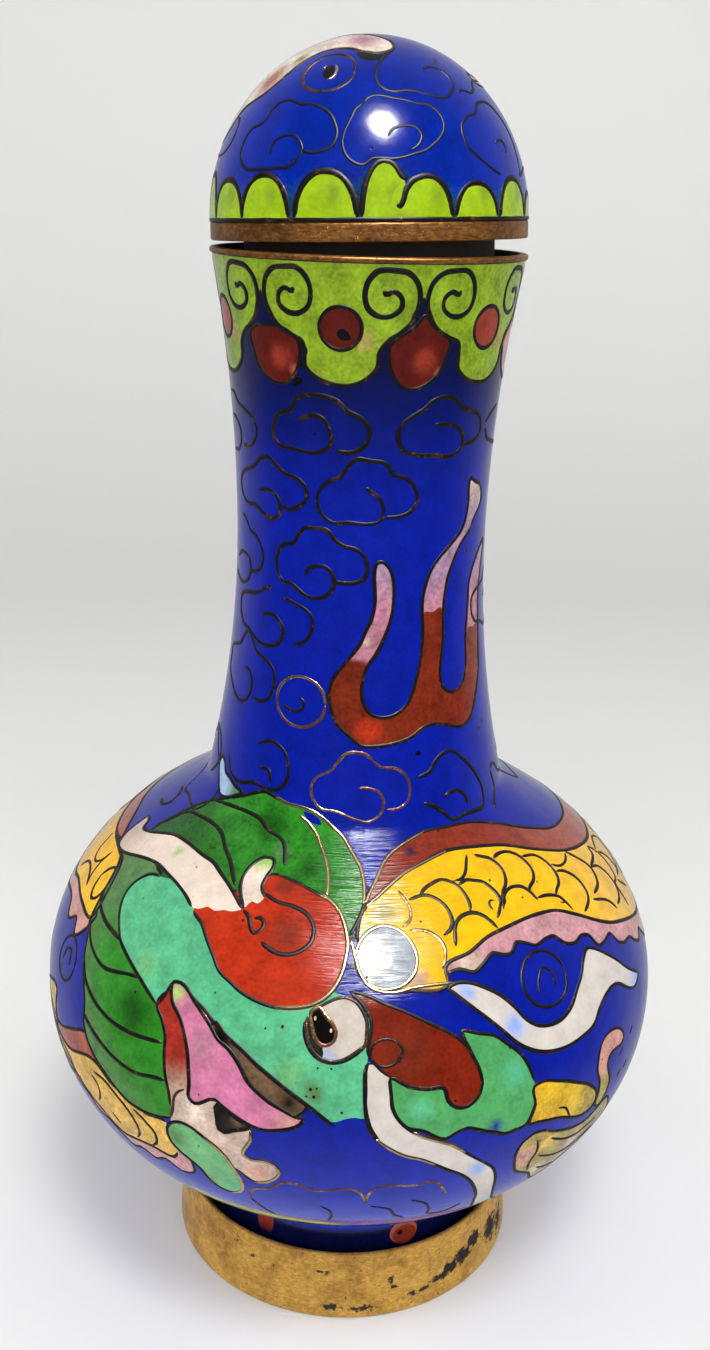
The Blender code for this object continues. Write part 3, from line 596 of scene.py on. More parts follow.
neckClouds = [
    [(-10.9, 82.7), (-6.2, 82.6), (-1.5, 82.9), (2.1, 83.8), (2.1, 84.6), (-1.5, 85.5), (-6.8, 86),
     (-9.7, 86.6), (-14.4, 87), (-22.6, 87.1), (-27.4, 86.8), (-30.9, 85.7), (-36.8, 85.3),
     (-39.7, 84.4), (-39.7, 83.3), (-36.8, 82.7), (-30.9, 82.6), (-22.6, 82.4), (-16.8, 82.6),
     (-13.2, 83.3), (-13.8, 84.4), (-16.2, 85.2), (-20.3, 85.5), (-25, 85.2), (-27.4, 85)],
    [(46.2, 83), (52.6, 83.1), (57.4, 83.8), (57.4, 84.6), (53.8, 85.4), (47.9, 85.8), (42.6, 86.2),
     (39.1, 86.8), (33.8, 87.1), (27.9, 86.8), (24.4, 86.2), (18.5, 85.5), (15, 84.9), (13.8, 84),
     (16.2, 82.9), (23.2, 82.4), (31.5, 82.3), (37.4, 82.1), (43.2, 82.4), (45.6, 83.1), (44.4, 84),
     (40.9, 84.6), (35, 84.8), (29.7, 84.9)],
    [(10.3, 77.3), (15, 77.3), (20.9, 77.7), (23.8, 78.6), (22.6, 79.6), (18.5, 80.5), (12.6, 80.9),
     (9.1, 81.8), (3.2, 82), (-2.6, 82.1), (-6.2, 81.4), (-9.1, 80.6), (-14.4, 80.1), (-17.9, 79.4),
     (-19.1, 78.3), (-16.8, 77.3), (-12.1, 76.7), (-5, 76.8), (2.1, 76.7), (7.9, 77), (9.1, 78.1),
     (6.8, 79), (3.2, 79.5), (1.5, 79.8)],
    [(-36.8, 77.6), (-33.2, 77.4), (-27.4, 77.8), (-23.8, 78.6), (-24.4, 79.4), (-28.5, 80.1),
     (-34.4, 80.4), (-39.1, 80.9), (-43.8, 81.5), (-49.7, 81.2), (-53.8, 80.5), (-60.3, 80),
     (-66.2, 79.4), (-68.5, 78.6), (-66.2, 77.5), (-60.3, 77), (-54.4, 77.1), (-48.5, 76.6),
     (-42.6, 76.3), (-37.9, 76.8), (-37.9, 77.8), (-41.5, 78.6), (-46.2, 78.7), (-50.9, 78.5)],
    [(-10.9, 71.7), (-6.2, 71.6), (-1.5, 71.7), (2.1, 72.1), (3.2, 72.9), (2.1, 73.8), (-1.5, 74.5),
     (-7.4, 74.8), (-10.9, 75.2), (-14.4, 76), (-20.3, 76.1), (-25, 76), (-27.9, 75.3), (-30.3, 74.6),
     (-35.6, 74.3), (-38.5, 73.6), (-39.7, 72.7), (-38.5, 71.8), (-35.6, 71.1), (-30.9, 71),
     (-27.4, 70.6), (-23.8, 70.2), (-19.1, 70.1), (-14.4, 70.4), (-11.5, 71.1), (-11.5, 72.1),
     (-14.4, 72.8), (-19.1, 72.9), (-22.6, 72.6), (-24.4, 72)],
    [(-42.1, 70.2), (-46.2, 70.1), (-50.9, 69.5), (-56.8, 69.2), (-62.6, 69), (-66.8, 68.5),
     (-67.6, 67.7), (-66.2, 66.8), (-62.6, 66.1), (-57.4, 65.9), (-52.1, 65.4), (-47.4, 65.1),
     (-42.6, 65.1), (-37.9, 65.4), (-35, 66.1), (-34.4, 66.8), (-36.2, 67.4), (-39.7, 67.9),
     (-43.8, 67.9), (-47.4, 67.7)],
    [(-35, 69.7), (-29.7, 69.4), (-23.8, 69), (-20.5, 68.4), (-20.3, 67.4), (-22.1, 66.5), (-25, 66),
     (-28.8, 65.7)],
    [(-75.6, 63.4), (-69.7, 63.8), (-63.8, 64.3), (-61.5, 65), (-56.8, 65.7), (-53.2, 65), (-49.7, 64.3),
     (-43.8, 63.8), (-39.7, 63.4), (-37.4, 62.4), (-37.9, 61.3), (-40.9, 60.3), (-45, 60), (-48.5, 60.1)],
    [(-57.4, 62.4), (-53.2, 62.2), (-50.9, 61.3), (-51.5, 60.3), (-54.4, 59.5), (-59.1, 59.2),
     (-63.8, 59.5), (-69.1, 60.2), (-75, 61.2), (-75.6, 63.4)],
]
leftEdgeClouds = [
    [(-77, 86.2), (-70.9, 86.2), (-67.4, 85.6), (-60.3, 85.1), (-54.4, 84.6), (-50.9, 83.8),
     (-52.6, 82.7), (-56.8, 82.1), (-62.6, 82)],
    [(-77, 84.2), (-70.9, 84), (-66.2, 83.3), (-65.6, 82.3), (-69.7, 81.4), (-77.9, 81.2)],
    [(-67.4, 75.9), (-62.6, 75.4), (-59.1, 74.7), (-53.2, 74.3), (-49.7, 73.6), (-48.3, 72.7),
     (-49.7, 71.8), (-54.4, 71.2), (-58.5, 71.1)],
    [(-74.4, 71.7), (-69.7, 72.3), (-63.8, 72.4), (-59.7, 72.1), (-58.5, 71.2), (-60.3, 70.3),
     (-66.2, 69.7), (-72.1, 69.8), (-77.9, 70.3)],
    [(-42.1, 56.3), (-37.9, 56.8), (-33.2, 56.8), (-29.1, 56.3), (-26.8, 55.4), (-26.2, 54.3),
     (-28.5, 53.1), (-33.6, 52.7), (-42, 52.8), (-50, 52.3), (-56, 52.7), (-60, 53.9)],
    [(-40, 54.3), (-35, 54.3), (-33.5, 53.3)],
    [(-85, 55), (-75.6, 55.1), (-70.9, 54.5), (-67.9, 53.4), (-69.7, 52.2), (-76, 51)],
    [(-85, 48.5), (-80.4, 48.3), (-78.4, 47.7), (-80.4, 47.3), (-85, 47.2)],
    [(67.4, 52.8), (70.9, 52.9), (74.3, 52.6), (77.1, 51.8), (85, 51.1)],
    [(67.4, 52.6), (68.6, 51.7), (68.6, 50.6), (65.7, 50.2), (61.1, 49.7)],
    [(62, 84.5), (66.8, 85.1), (75, 85.7)],
    [(62.1, 84), (65.6, 83.1), (72.6, 82.6), (85, 82.1)],
    [(25, 54.5), (30.3, 54.8), (33.8, 55.7), (38.5, 56.2), (43.2, 56), (46.8, 55.3), (51.5, 54.3),
     (54.9, 53.3), (57.1, 52.4), (58.3, 51.3), (57.7, 50.6), (56, 50.2), (51.4, 50.2), (44.6, 50.3),
     (38.9, 50.2), (35.4, 50.9), (32, 51.6), (26.9, 52.2)],
    [(36, 52.3), (40, 52.6), (44, 52.4), (46.9, 51.7), (47.7, 50.9)],
]
wire(vase, black, *neckClouds, *leftEdgeClouds, width=0.42)
wire(vase, copperAndGlint, [(7.4, 56.2), (4.4, 56.8), (0.3, 57), (-3.8, 56.8), (-6.4, 56.1), (-9.7, 55.2),
    (-14.4, 54.6), (-16.2, 53.8), (-15.6, 52.9), (-12.6, 52), (-6.2, 51.8), (-0.3, 51.3), (5.6, 51),
    (10.3, 51.8), (11.2, 52.7), (9.1, 53.6), (5.6, 53.9), (1.5, 53.9)], [(7.4, 56.2), (10.3, 55.7),
    (16.2, 55.5), (20.3, 54.7), (21.5, 53.6), (19.7, 52.4), (16.2, 52), (12.1, 52)],
    oval((-23.8, 60.9), 11.2, 2.2) + [(-12.6, 60.9)], width=0.3)
wire(vase, black, [(-24.4, 61.3), (-22.1, 60.9), (-23.2, 60.2), (-27.4, 60), (-31.5, 60.3)])
for turn in (128, 196):     # the hidden side of the neck repeats the clouds, turned and lowered
    wire(vase, black, *[shifted(line, turn, -1.2 if turn == 196 else 0.6) for line in (neckClouds[0],
        neckClouds[2], neckClouds[4], neckClouds[5])], width=0.34)
wire(vase, black, *[shifted(line, 168, 0.6) for line in (leftEdgeClouds[4], leftEdgeClouds[12])],
    *[shifted(leftEdgeClouds[12], turn, -1.5) for turn in (60, 180, 240)], *[shifted(neckClouds[4], turn,
    -19) for turn in (175, 245)], *[shifted(neckClouds[0], turn, rise) for turn, rise in ((170, -54),
    (260, -68), (120, -66))], width=0.34)

# Collar: six lime ruyi lobes with a red drop between each pair
collar = {"lobes": (-10.5, 50.5, 110, 170, 229, 288), "drops": (20, 80, 140, 199.5, 258, 323), "squeeze": 1.0}


def collarPoints(points, centre, mirror=False):
    side = -1 if mirror else 1
    return [(centre + side * a, 93 + (z - 93) * collar["squeeze"] if z > 93 else z) for a, z in points]


lobeLow = [(-28.6, 94.2), (-27.4, 93.6), (-23.9, 92.5), (-18, 91.8), (-13.9, 91.4), (-13.1, 90.5),
    (-12.7, 89.4), (-8.6, 88.6), (-1.6, 88.1), (5.5, 88.1), (11.4, 88.7), (14.9, 89.6), (15.5, 90.7),
    (18.4, 91.6), (23.1, 92.3), (26.7, 93.1), (28.6, 94.2)]
curl = [(26.7, 93.1), (28.8, 94.2), (29, 95.1), (27.3, 96.2), (24.3, 96.8), (19.6, 97), (13.7, 96.9),
    (10.8, 96.2), (9.6, 95.1), (10.8, 94.1), (14.9, 93.5), (19.6, 93.6), (22.6, 94.2), (22.2, 95),
    (19.6, 95.4), (16.7, 95.2), (16.1, 95.5)]
drop = [(1.5, 93.6), (-2.6, 92.7), (-7.4, 92), (-10.9, 91.4), (-11.5, 90.3), (-9.7, 89), (-6.2, 88.1),
    (-1.5, 87.8), (4.4, 88.2), (9.1, 89.1), (11.5, 90.3), (12.6, 91.6), (7.9, 92.3), (4.4, 92.9)]
for centre in collar["lobes"]:
    low = collarPoints(lobeLow, centre)
    cell(vase, "lime", low + [(centre + 31, 95.4), (centre + 31, neckTop - 0.06), (centre, neckTop - 0.06),
        (centre - 31, neckTop - 0.06), (centre - 31, 95.4)], edge=None, sand=0.6,
        washes=(("spot", (centre + 10, 91.5), 6, "olive"),))
    wire(vase, black, low, width=0.46)
for place, centre in enumerate(collar["drops"]):
    paleDrop = centre > 70 and centre != 323
    shape = [(a, min(z, 92.4)) for a, z in drop] if centre == 323 else drop
    cell(vase, "paleDrop" if paleDrop else "dropRed", collarPoints(shape, centre, mirror=place % 2 == 1),
        sand=0.45, washes=(("spot", (centre + 3, 90), 7, "brick"), ("spot", (centre + 9, 89), 3, "sandy")))
for centre in collar["lobes"]:
    wire(vase, black, collarPoints(curl, centre), collarPoints(curl, centre, mirror=True), width=0.5)
    cell(vase, "dropRed" if centre < 0 else "brick", oval((centre + 1, 92.5), 7.8, 1.68), sand=0.45)
cell(vase, "black", [(-11, 92.1), (-9, 92.5), (-6.6, 92.2), (-5.6, 91.7), (-9, 91.6)], edge=None)
for a, z, across, high in ((-25, 89.6, 1.6, 0.3), (-23.4, 90.6, 1.3, 0.4), (-26.6, 88.2, 2, 0.3),
        (-28, 87.9, 1, 0.2), (25.6, 56.6, 1.3, 0.2), (61.8, 57, 1, 0.2), (66, 57.4, 1.2, 0.25),
        (-20, 84, 0.5, 0.12)):
    cell(vase, "black", oval((a, z), across, high, 7), edge=None)

# Stem: red marks and the green run above them
# the first mark darkens into deep blue towards the foot ring: painted shade
cell(vase, "brick", [(-29.8, 6.8), (-29.9, 9.8), (-27.9, 9.8), (-28, 6.8)], edge=None, sand=0.5,
    washes=(("run", (-29, 8.2), (-29, 6.6), "deepCobaltAndShade"),))
cell(vase, "sandy", oval((23, 7.9), 5.4, 1.3), edge=None, sand=0.5)
cell(vase, "brick", oval((23.4, 7.6), 4.6, 1.1), edge=None, sand=0.5)
cell(vase, "black", oval((21.6, 7.9), 1.1, 0.3, 7), edge=None)
cell(vase, "limeTip", [(-31, 19.2), (-24, 18.9), (-12, 18.5), (-2, 17.9), (2, 17.2), (-12, 17.3),
    (-24, 17.6), (-31, 18.3)], edge=None, sand=0.5)
print("vase picture drawn:", len(vase["cells"]), "cells and", len(vase["wires"]), "wires")

# Lid: lime scallops on the band, outlined clouds, a pale flame over the crown
scallops = [(-77, 15, 9), (-58, 12.7, 10), (-38, 13.8, 10.5), (-14.5, 14.6, 10.8), (5.6, 17.5, 8),
    (20, 13, 8.6), (39.5, 11, 9.5), (60.5, 12.6, 9.8), (80, 8.4, 8.6)]
scallops += [(100 + 20.3 * k, 12.5 + (k % 3), 9.6) for k in range(9)]
for a, top, half in scallops:
    cell(dome, "teal", [(a - half * 1.2, 0.4), (a - half * 1.1, top * 0.72), (a - half * 0.5, top + 0.4),
        (a, top + 1.2), (a + half * 0.5, top + 0.4), (a + half * 1.1, top * 0.72), (a + half * 1.2, 0.4)],
        edge=None, sand=1, washes=(("run", (a, top * 0.3), (a, top + 1), "lidCobalt"),))
for place, (a, top, half) in enumerate(scallops):
    arch = [(a - half, 1.2), (a - half * 0.93, top * 0.4), (a - half * 0.7, top * 0.76), (a - half * 0.32,
        top * 0.97), (a, top), (a + half * 0.34, top * 0.95), (a + half * 0.7, top * 0.74),
        (a + half * 0.93, top * 0.4), (a + half, 1.2)]
    cell(dome, "lidLime", [(a - half, 0.3)] + arch[1:-1] + [(a + half, 0.3)], edge=None, sand=0.25,
        washes=(("spot", (a + 3, 8), 5, "lime"),))
    if place == 4:              # this pair shares its lime, parted by a hook
        arch = arch[:7] + [(12.6, 11.8)]
    if place == 5:
        arch = [(9.2, 4.8), (10.2, 4.2), (11.2, 5.6), (12.2, 8.6), (14.4, 11.4)] + arch[3:]
    wire(dome, black, arch, width=0.52)
cell(dome, "lidLime", [(8, 0.4), (8, 8), (11, 10.5), (14, 9), (17, 6), (17, 0.4)], edge=None, sand=0.25)
lidClouds = [
    [(-24, 21), (-21, 20.2), (-17, 20.5), (-14, 21.5), (-12, 23.5), (-11.5, 26.5), (-13, 30),
     (-15.5, 33), (-19, 34.8), (-24, 36.3), (-28, 36.2), (-32, 37.5), (-36, 38.2), (-40, 37.3),
     (-42.5, 35), (-43.5, 32), (-46, 30), (-49.5, 29.3), (-52, 27.5), (-53.5, 24), (-53.5, 21),
     (-51.5, 18), (-48, 15.8), (-44, 15.5), (-38, 15.5), (-32, 15.8), (-27.5, 16.3), (-25.5, 18),
     (-24, 21), (-25.5, 24), (-29, 25.8), (-33, 25.5), (-36.5, 23.5), (-37, 20)],
    [(14.5, 20.5), (18, 22.5), (19.5, 25), (18, 27.5), (15, 28.4), (11, 28), (8.5, 27), (7, 25)],
    [(-2, 36), (-5, 34), (-6.5, 31), (-8.5, 27), (-9.3, 23.5), (-8, 19.5), (-5, 17), (-1.5, 16.3),
     (1, 18), (4, 18.3), (8, 18), (12, 18.5), (16, 19.5), (20, 20.5), (23.5, 22.5), (27, 25), (29, 27.5),
     (29.5, 30.5), (28, 33.5), (25, 35.5), (20, 36), (16, 37), (10, 38), (4, 39), (0, 38.2), (-2, 36)],
    [(53, 13.5), (49, 15), (45, 17), (41, 19.5), (38, 22), (37, 25), (37.5, 28.5), (40, 31), (44, 32.5),
     (47, 33), (49.5, 34.5), (52, 36.8), (56, 37.8), (61, 38), (65, 36.5), (68, 34), (71, 30), (72, 24),
     (71, 18), (69, 13)],
    [(54, 23.5), (57, 24.5), (60, 24), (61, 22.5), (60, 20.5)],
    [(28, 49), (31, 51), (36, 51.7), (41, 50.5), (43.5, 47.5), (43, 44), (40, 41.5), (36, 39),
     (30, 38.8), (25, 39.8), (20, 40.8), (16, 41), (12, 40.5), (8, 41), (5, 43), (3.5, 46), (4, 49),
     (6, 53), (10, 57), (18, 61.5)],
    [(43, 41), (47, 42), (53, 41.2), (57, 42.8), (60, 45), (65, 47), (72, 47.5), (80, 48), (88, 50)],
    [(-69, 33.5), (-66, 32.5), (-63.5, 29), (-64, 25), (-67, 22.5), (-70, 21.3), (-76, 20.8), (-84, 21.5)],
    [(70, 13.5), (76, 15.5), (84, 16.5), (94, 16)],
]
wire(dome, faint, *lidClouds, width=0.3)
wire(dome, black, [(a, 0.5) for a in range(-186, 187, 6)], width=0.34, lift=0.02)
wire(dome, brownWire, oval((-20.5, 49.8), 14, 9, 12) + [(-6.5, 49.8)], width=0.3)
for turn in (118, 178, 236):                # hidden side of the lid
    wire(dome, black, *[shifted(line, turn - 10) for line in lidClouds[1:3]], width=0.27)
wire(dome, black, shifted(lidClouds[5], 130), width=0.27)


def lidPoint(x, y):
    # a point placed on the flat view of the dome, x to the right and y to the back, as turn and rise
    return (math.degrees(math.atan2(x, -y)), 90 - math.hypot(x, y))


flame = [(-49.6, -20), (-44.8, -24.3), (-40, -27.7), (-34.4, -28.6), (-27.7, -27.2), (-22, -25.3),
    (-16.2, -24.3), (-10.5, -25.3), (-5.7, -27.2), (-2.4, -29.6), (2, -31), (6.7, -29.1), (8.8, -25.8),
    (8.4, -22), (4, -16), (-4, -9), (-14, -2), (-26, 4), (-40, 7), (-54, 5), (-62, 0), (-64, -8),
    (-59, -16)]
cell(dome, "cream", [lidPoint(*p) for p in flame], edge=brownWire, sand=0.5,
    washes=(("spot", lidPoint(-36, -22), 9, "sandy"), ("spot", lidPoint(-2, -20), 9, "flamePink"),
    ("spot", lidPoint(-54, -14), 6, "beige"), ("spot", lidPoint(-24, -22), 4, "olive")))
cell(dome, "beige", [lidPoint(*p) for p in ((37, -15), (40, -17), (43, -12), (44, -4), (43, 6), (40, 14),
    (38, 10), (40, 0), (39.5, -8))], sand=0.5)
cell(dome, "black", [lidPoint(*p) for p in ((-4, -30.6), (0, -29.6), (3, -30.4), (7, -29.6), (5.4, -34),
    (1.4, -35.6), (-3, -34))], edge=None, sand=0)
cell(dome, "black", oval((-20.3, 49.3), 3, 3.2, 9), edge=None, sand=0)
wire(dome, goldAndGlint, [(-24.5, 50.5), (-23, 52.2)], [(-17.8, 52.4), (-16.2, 50), (-16.8, 47.2), (-19.6, 45.4)],
    width=0.26, lift=0.03)
cell(dome, "black", [(41, 54), (44, 56.6), (47, 57.6), (44.6, 55)], edge=None)
print("lid picture drawn:", len(dome["cells"]), "cells and", len(dome["wires"]), "wires")


def inside(points, outline):
    hit = np.zeros(len(points), bool)
    near = np.nonzero((points > outline.min(0)).all(1) & (points < outline.max(0)).all(1))[0]
    x, y = points[near, 0], points[near, 1]
    odd = np.zeros(len(near), bool)
    for (x0, y0), (x1, y1) in zip(outline, np.roll(outline, -1, 0)):
        if y0 != y1:
            odd ^= ((y0 > y) != (y1 > y)) & (x < (x1 - x0) * (y - y0) / (y1 - y0) + x0)
    hit[near] = odd
    return hit


def washedGlaze(picture, part, points):
    colour = np.tile(linear(glazes[part["glaze"]]), (len(points), 1))
    for kind, place, reach, glaze in part["washes"]:
        start = np.array(picture["plane"](*place))
        if kind == "run":
            run = np.array(picture["plane"](*reach)) - start
            share = (points - start) @ run / (run @ run)
        else:
            share = 1.25 * (1 - np.hypot(*(points - start).T) / reach)
        share = np.clip(share, 0, 1)[:, None]
        share = share * share * (3 - 2 * share)
        colour = colour * (1 - share) + np.array(linear(glazes[glaze])) * share
    return colour


def triangulate(points, lines, wrap=None):
    # fills the plane with triangles that keep to the lines
    verts = [tuple(p) for p in points]
    edges = []
    for line in lines:
        for turn in (-360, 0, 360) if wrap else (0,):
            moved = line + np.array([turn, 0.0])
            if wrap and (moved[:, 0].max() <= -wrap or moved[:, 0].min() >= wrap):
                continue
            for p, q in zip(moved, np.roll(moved, -1, 0)):
                if wrap:
                    if max(p[0], q[0]) <= -wrap or min(p[0], q[0]) >= wrap:
                        continue
                    run = q - p
                    for side in (-wrap, wrap):
                        if (p[0] - side) * (q[0] - side) < 0:
                            cross = np.array([side, p[1] + run[1] * (side - p[0]) / run[0]])
                            if abs(p[0]) > wrap:
                                p = cross
                            else:
                                q = cross
                edges.append((len(verts), len(verts) + 1))
                verts += [tuple(p), tuple(q)]
    made = geometry.delaunay_2d_cdt([Vector(v) for v in verts], edges, [], 0, 1e-4)
    return np.array([tuple(v) for v in made[0]]), np.array(made[2])


def skinMesh(picture, base, grid, wrap=None):
    # flat triangles, and each corner's glaze and sandiness
    plane, faces = triangulate(grid, [part["outline"] for part in picture["cells"]], wrap)
    middles = plane[faces].mean(1)
    owner = np.full(len(faces), -1)
    for index, part in enumerate(picture["cells"]):
        for turn in (-360, 0, 360) if wrap else (0,):
            owner[inside(middles, part["outline"] + np.array([turn, 0.0]))] = index
    corners = plane[faces].reshape(-1, 2)
    glaze = washedGlaze(picture, base, corners)
    sand = np.full(len(corners), base["sand"])
    owners = np.repeat(owner, 3)
    for index, part in enumerate(picture["cells"]):
        mine = np.nonzero(owners == index)[0]
        if len(mine):
            spots = corners[mine].copy()
            if wrap:
                centre = part["outline"][:, 0].mean()
                spots[:, 0] += 360 * np.round((centre - spots[:, 0]) / 360)
            glaze[mine] = washedGlaze(picture, part, spots)
            sand[mine] = part["sand"]
    return plane, faces, glaze, sand


def closedMesh(name, verts, faces, glaze, sand, material):
    mesh = bpy.data.meshes.new(name)
    mesh.from_pydata([tuple(v) for v in verts], [], [tuple(int(i) for i in f) for f in faces])
    colours = mesh.attributes.new("glaze", "FLOAT_COLOR", "CORNER")
    colours.data.foreach_set("color", np.hstack([glaze, np.ones((len(glaze), 1))]).ravel())
    mesh.attributes.new("sand", "FLOAT", "CORNER").data.foreach_set("value", sand)
    shape = bmesh.new()
    shape.from_mesh(mesh)
    bmesh.ops.remove_doubles(shape, verts=shape.verts, dist=3e-6)
    bmesh.ops.dissolve_degenerate(shape, edges=shape.edges, dist=1e-7)
    bmesh.ops.recalc_face_normals(shape, faces=shape.faces)
    openEdges = sum(1 for edge in shape.edges if len(edge.link_faces) != 2)
    shape.to_mesh(mesh)
    shape.free()
    mesh.shade_smooth()
    mesh.set_sharp_from_angle(angle=math.radians(50))
    mesh.materials.append(material)
    piece = bpy.data.objects.new(name, mesh)
    bpy.context.scene.collection.objects.link(piece)
    print(name, len(mesh.polygons), "faces,", openEdges, "open edges")
    return piece


def ringRows(count, last):
    # quads as two triangles between neighbouring rings of count points each
    faces = []
    for row in range(last):
        for k in range(count):
            a, b = row * count + k, row * count + (k + 1) % count
            faces += [(a, b, b + count), (a, b + count, a + count)]
    return faces


def joinedSkin(name, picture, base, grid, toSpace, liners, linerColour, material, wrap=None):
    # the glazed face with its plain liners: each is rings that start on the glaze's own border,
    # and an end point
    plane, faces, glaze, sand = skinMesh(picture, base, grid, wrap)
    verts = [toSpace(plane)]
    faces = [faces]
    first = len(plane)
    for rings, end in liners:
        count = len(rings[0])
        last = len(rings) - 1
        quads = ringRows(count, last)
        fan = [(last * count + k, last * count + (k + 1) % count, (last + 1) * count) for k in range(count)]
        verts += rings + [np.array([end])]
        faces.append(np.array(quads + fan) + first)
        first += (last + 1) * count + 1
    faces = np.vstack(faces)
    plain = 3 * len(faces) - len(glaze)
    glaze = np.vstack([glaze, np.tile(linear(linerColour), (plain, 1))])
    sand = np.concatenate([sand, np.full(plain, 0.5)])
    return closedMesh(name, np.vstack(verts), faces, glaze, sand, material)


# Node helpers
def addNode(tree, kind, inputs=None, **settings):
    node = tree.nodes.new(kind)
    for name, value in settings.items():
        setattr(node, name, value)
    for socket, value in (inputs or {}).items():
        if isinstance(value, bpy.types.NodeSocket):
            tree.links.new(value, node.inputs[socket])
        else:
            node.inputs[socket].default_value = value
    return node


def newMaterial(name):
    material = bpy.data.materials.new(name)
    material.use_nodes = True
    return material, material.node_tree, material.node_tree.nodes["Principled BSDF"]


def mixed(tree, factor, first, second, blend="MIX"):
    node = addNode(tree, "ShaderNodeMix", {0: factor, 6: first, 7: second}, data_type="RGBA",
        blend_type=blend)
    return node.outputs[2]


def noise(tree, place, size, detail=2.0, rough=0.5):
    return addNode(tree, "ShaderNodeTexNoise", {"Vector": place, "Scale": 1 / (size * mm), "Detail": detail,
                                                "Roughness": rough}).outputs["Fac"]


def ranged(tree, value, low, high, toLow=0.0, toHigh=1.0):
    return addNode(tree, "ShaderNodeMapRange", {"Value": value, "From Min": low, "From Max": high,
                                                "To Min": toLow, "To Max": toHigh}).outputs["Result"]


def sums(tree, operation, first, second):
    return addNode(tree, "ShaderNodeMath", {0: first, 1: second}, operation=operation).outputs[0]


enamelLook = {
    "mottle": 1.7, "grain": 0.33, "wave": 5.0,     # sizes in mm
    "rubbed": (2.0, -20.0, 46.0),                   # middle of the scratched patch on the shoulder
    "rubbedFull": 6.5, "rubbedGone": 9.0,           # how far it reaches, and where it has faded out
    "handling": 7.0, "ripple": 0.9, "bump": 0.55, "bumpDistance": 0.22, "refraction": 1.52,
    "pitSpacing": 1.5, "scratch": 0.12,
    "roughness": 0.12, "coat": 0.12, "coatRoughness": 0.04, "specular": 0.4,
}


def firedEnamel(name):
    # fired glass on copper, ground flat and polished: even gloss, cloudy colour, pinholes, fine polish lines
    look = enamelLook
    material, tree, shader = newMaterial(name)
    place = addNode(tree, "ShaderNodeTexCoord").outputs["Object"]
    glaze = addNode(tree, "ShaderNodeAttribute", attribute_name="glaze").outputs["Color"]
    sand = addNode(tree, "ShaderNodeAttribute", attribute_name="sand").outputs["Fac"]
    cloudy = ranged(tree, noise(tree, place, look["mottle"], 4), 0.3, 0.7, -1.0, 1.0)
    cloudy = sums(tree, "MULTIPLY", cloudy, ranged(tree, sand, 0.0, 1.0, 0.07, 0.42))
    grain = ranged(tree, noise(tree, place, look["grain"], 2), 0.3, 0.7, -0.42, 0.32)
    shade = sums(tree, "ADD", sums(tree, "ADD", sums(tree, "MULTIPLY", grain, sand), 1.0), cloudy)
    shadeColour = addNode(tree, "ShaderNodeCombineColor", {0: shade, 1: shade, 2: shade}).outputs[0]
    body = mixed(tree, 1.0, glaze, shadeColour, "MULTIPLY")
    cells = addNode(tree, "ShaderNodeTexVoronoi", {"Vector": place, "Scale": 1 / (look["pitSpacing"] * mm)})
    keep = addNode(tree, "ShaderNodeSeparateColor", {0: cells.outputs["Color"]})
    size = ranged(tree, keep.outputs[0], 0.72, 1.0, 0.0, 0.12)
    pit = addNode(tree, "ShaderNodeMapRange", {"Value": cells.outputs["Distance"], "From Min": size,
                                               "From Max": sums(tree, "MULTIPLY", size, 0.6)},
                  interpolation_type="SMOOTHSTEP").outputs["Result"]
    pit = sums(tree, "MULTIPLY", pit, ranged(tree, keep.outputs[0], 0.72, 0.76))
    tree.links.new(mixed(tree, sums(tree, "MULTIPLY", pit, 0.9), body, (0.006, 0.005, 0.005, 1)),
                   shader.inputs["Base Color"])
    lines = addNode(tree, "ShaderNodeMapping", {"Vector": place, "Scale": (0.03, 0.03, 1.0)}).outputs[0]
    scratches = noise(tree, lines, look["scratch"], 2, 0.7)
    wear = noise(tree, place, look["handling"], 3)
    away = addNode(tree, "ShaderNodeVectorMath", {0: place, 1: tuple(c * mm for c in look["rubbed"])},
                   operation="DISTANCE").outputs["Value"]
    handled = ranged(tree, away, look["rubbedGone"] * mm, look["rubbedFull"] * mm)
    wear = sums(tree, "MAXIMUM", ranged(tree, wear, 0.5, 0.8, 0.0, 0.3), handled)
    rough = sums(tree, "MULTIPLY", ranged(tree, scratches, 0.3, 0.7, 0.0, 0.13), wear)
    tree.links.new(sums(tree, "ADD", rough, look["roughness"]), shader.inputs["Roughness"])
    height = sums(tree, "ADD", noise(tree, place, look["wave"], 1),
                  sums(tree, "MULTIPLY", scratches, sums(tree, "MULTIPLY", wear, 0.8)))
    height = sums(tree, "ADD", height, sums(tree, "MULTIPLY", noise(tree, place, look["ripple"], 2), 0.10))
    height = sums(tree, "SUBTRACT", height, sums(tree, "MULTIPLY", pit, 0.3))
    bump = addNode(tree, "ShaderNodeBump", {"Height": height, "Strength": look["bump"],
        "Distance": look["bumpDistance"] * mm})
    tree.links.new(bump.outputs[0], shader.inputs["Normal"])
    shader.inputs["IOR"].default_value = look["refraction"]
    shader.inputs["Specular IOR Level"].default_value = look["specular"]
    shader.inputs["Coat Weight"].default_value = look["coat"]
    shader.inputs["Coat Roughness"].default_value = look["coatRoughness"]
    return material


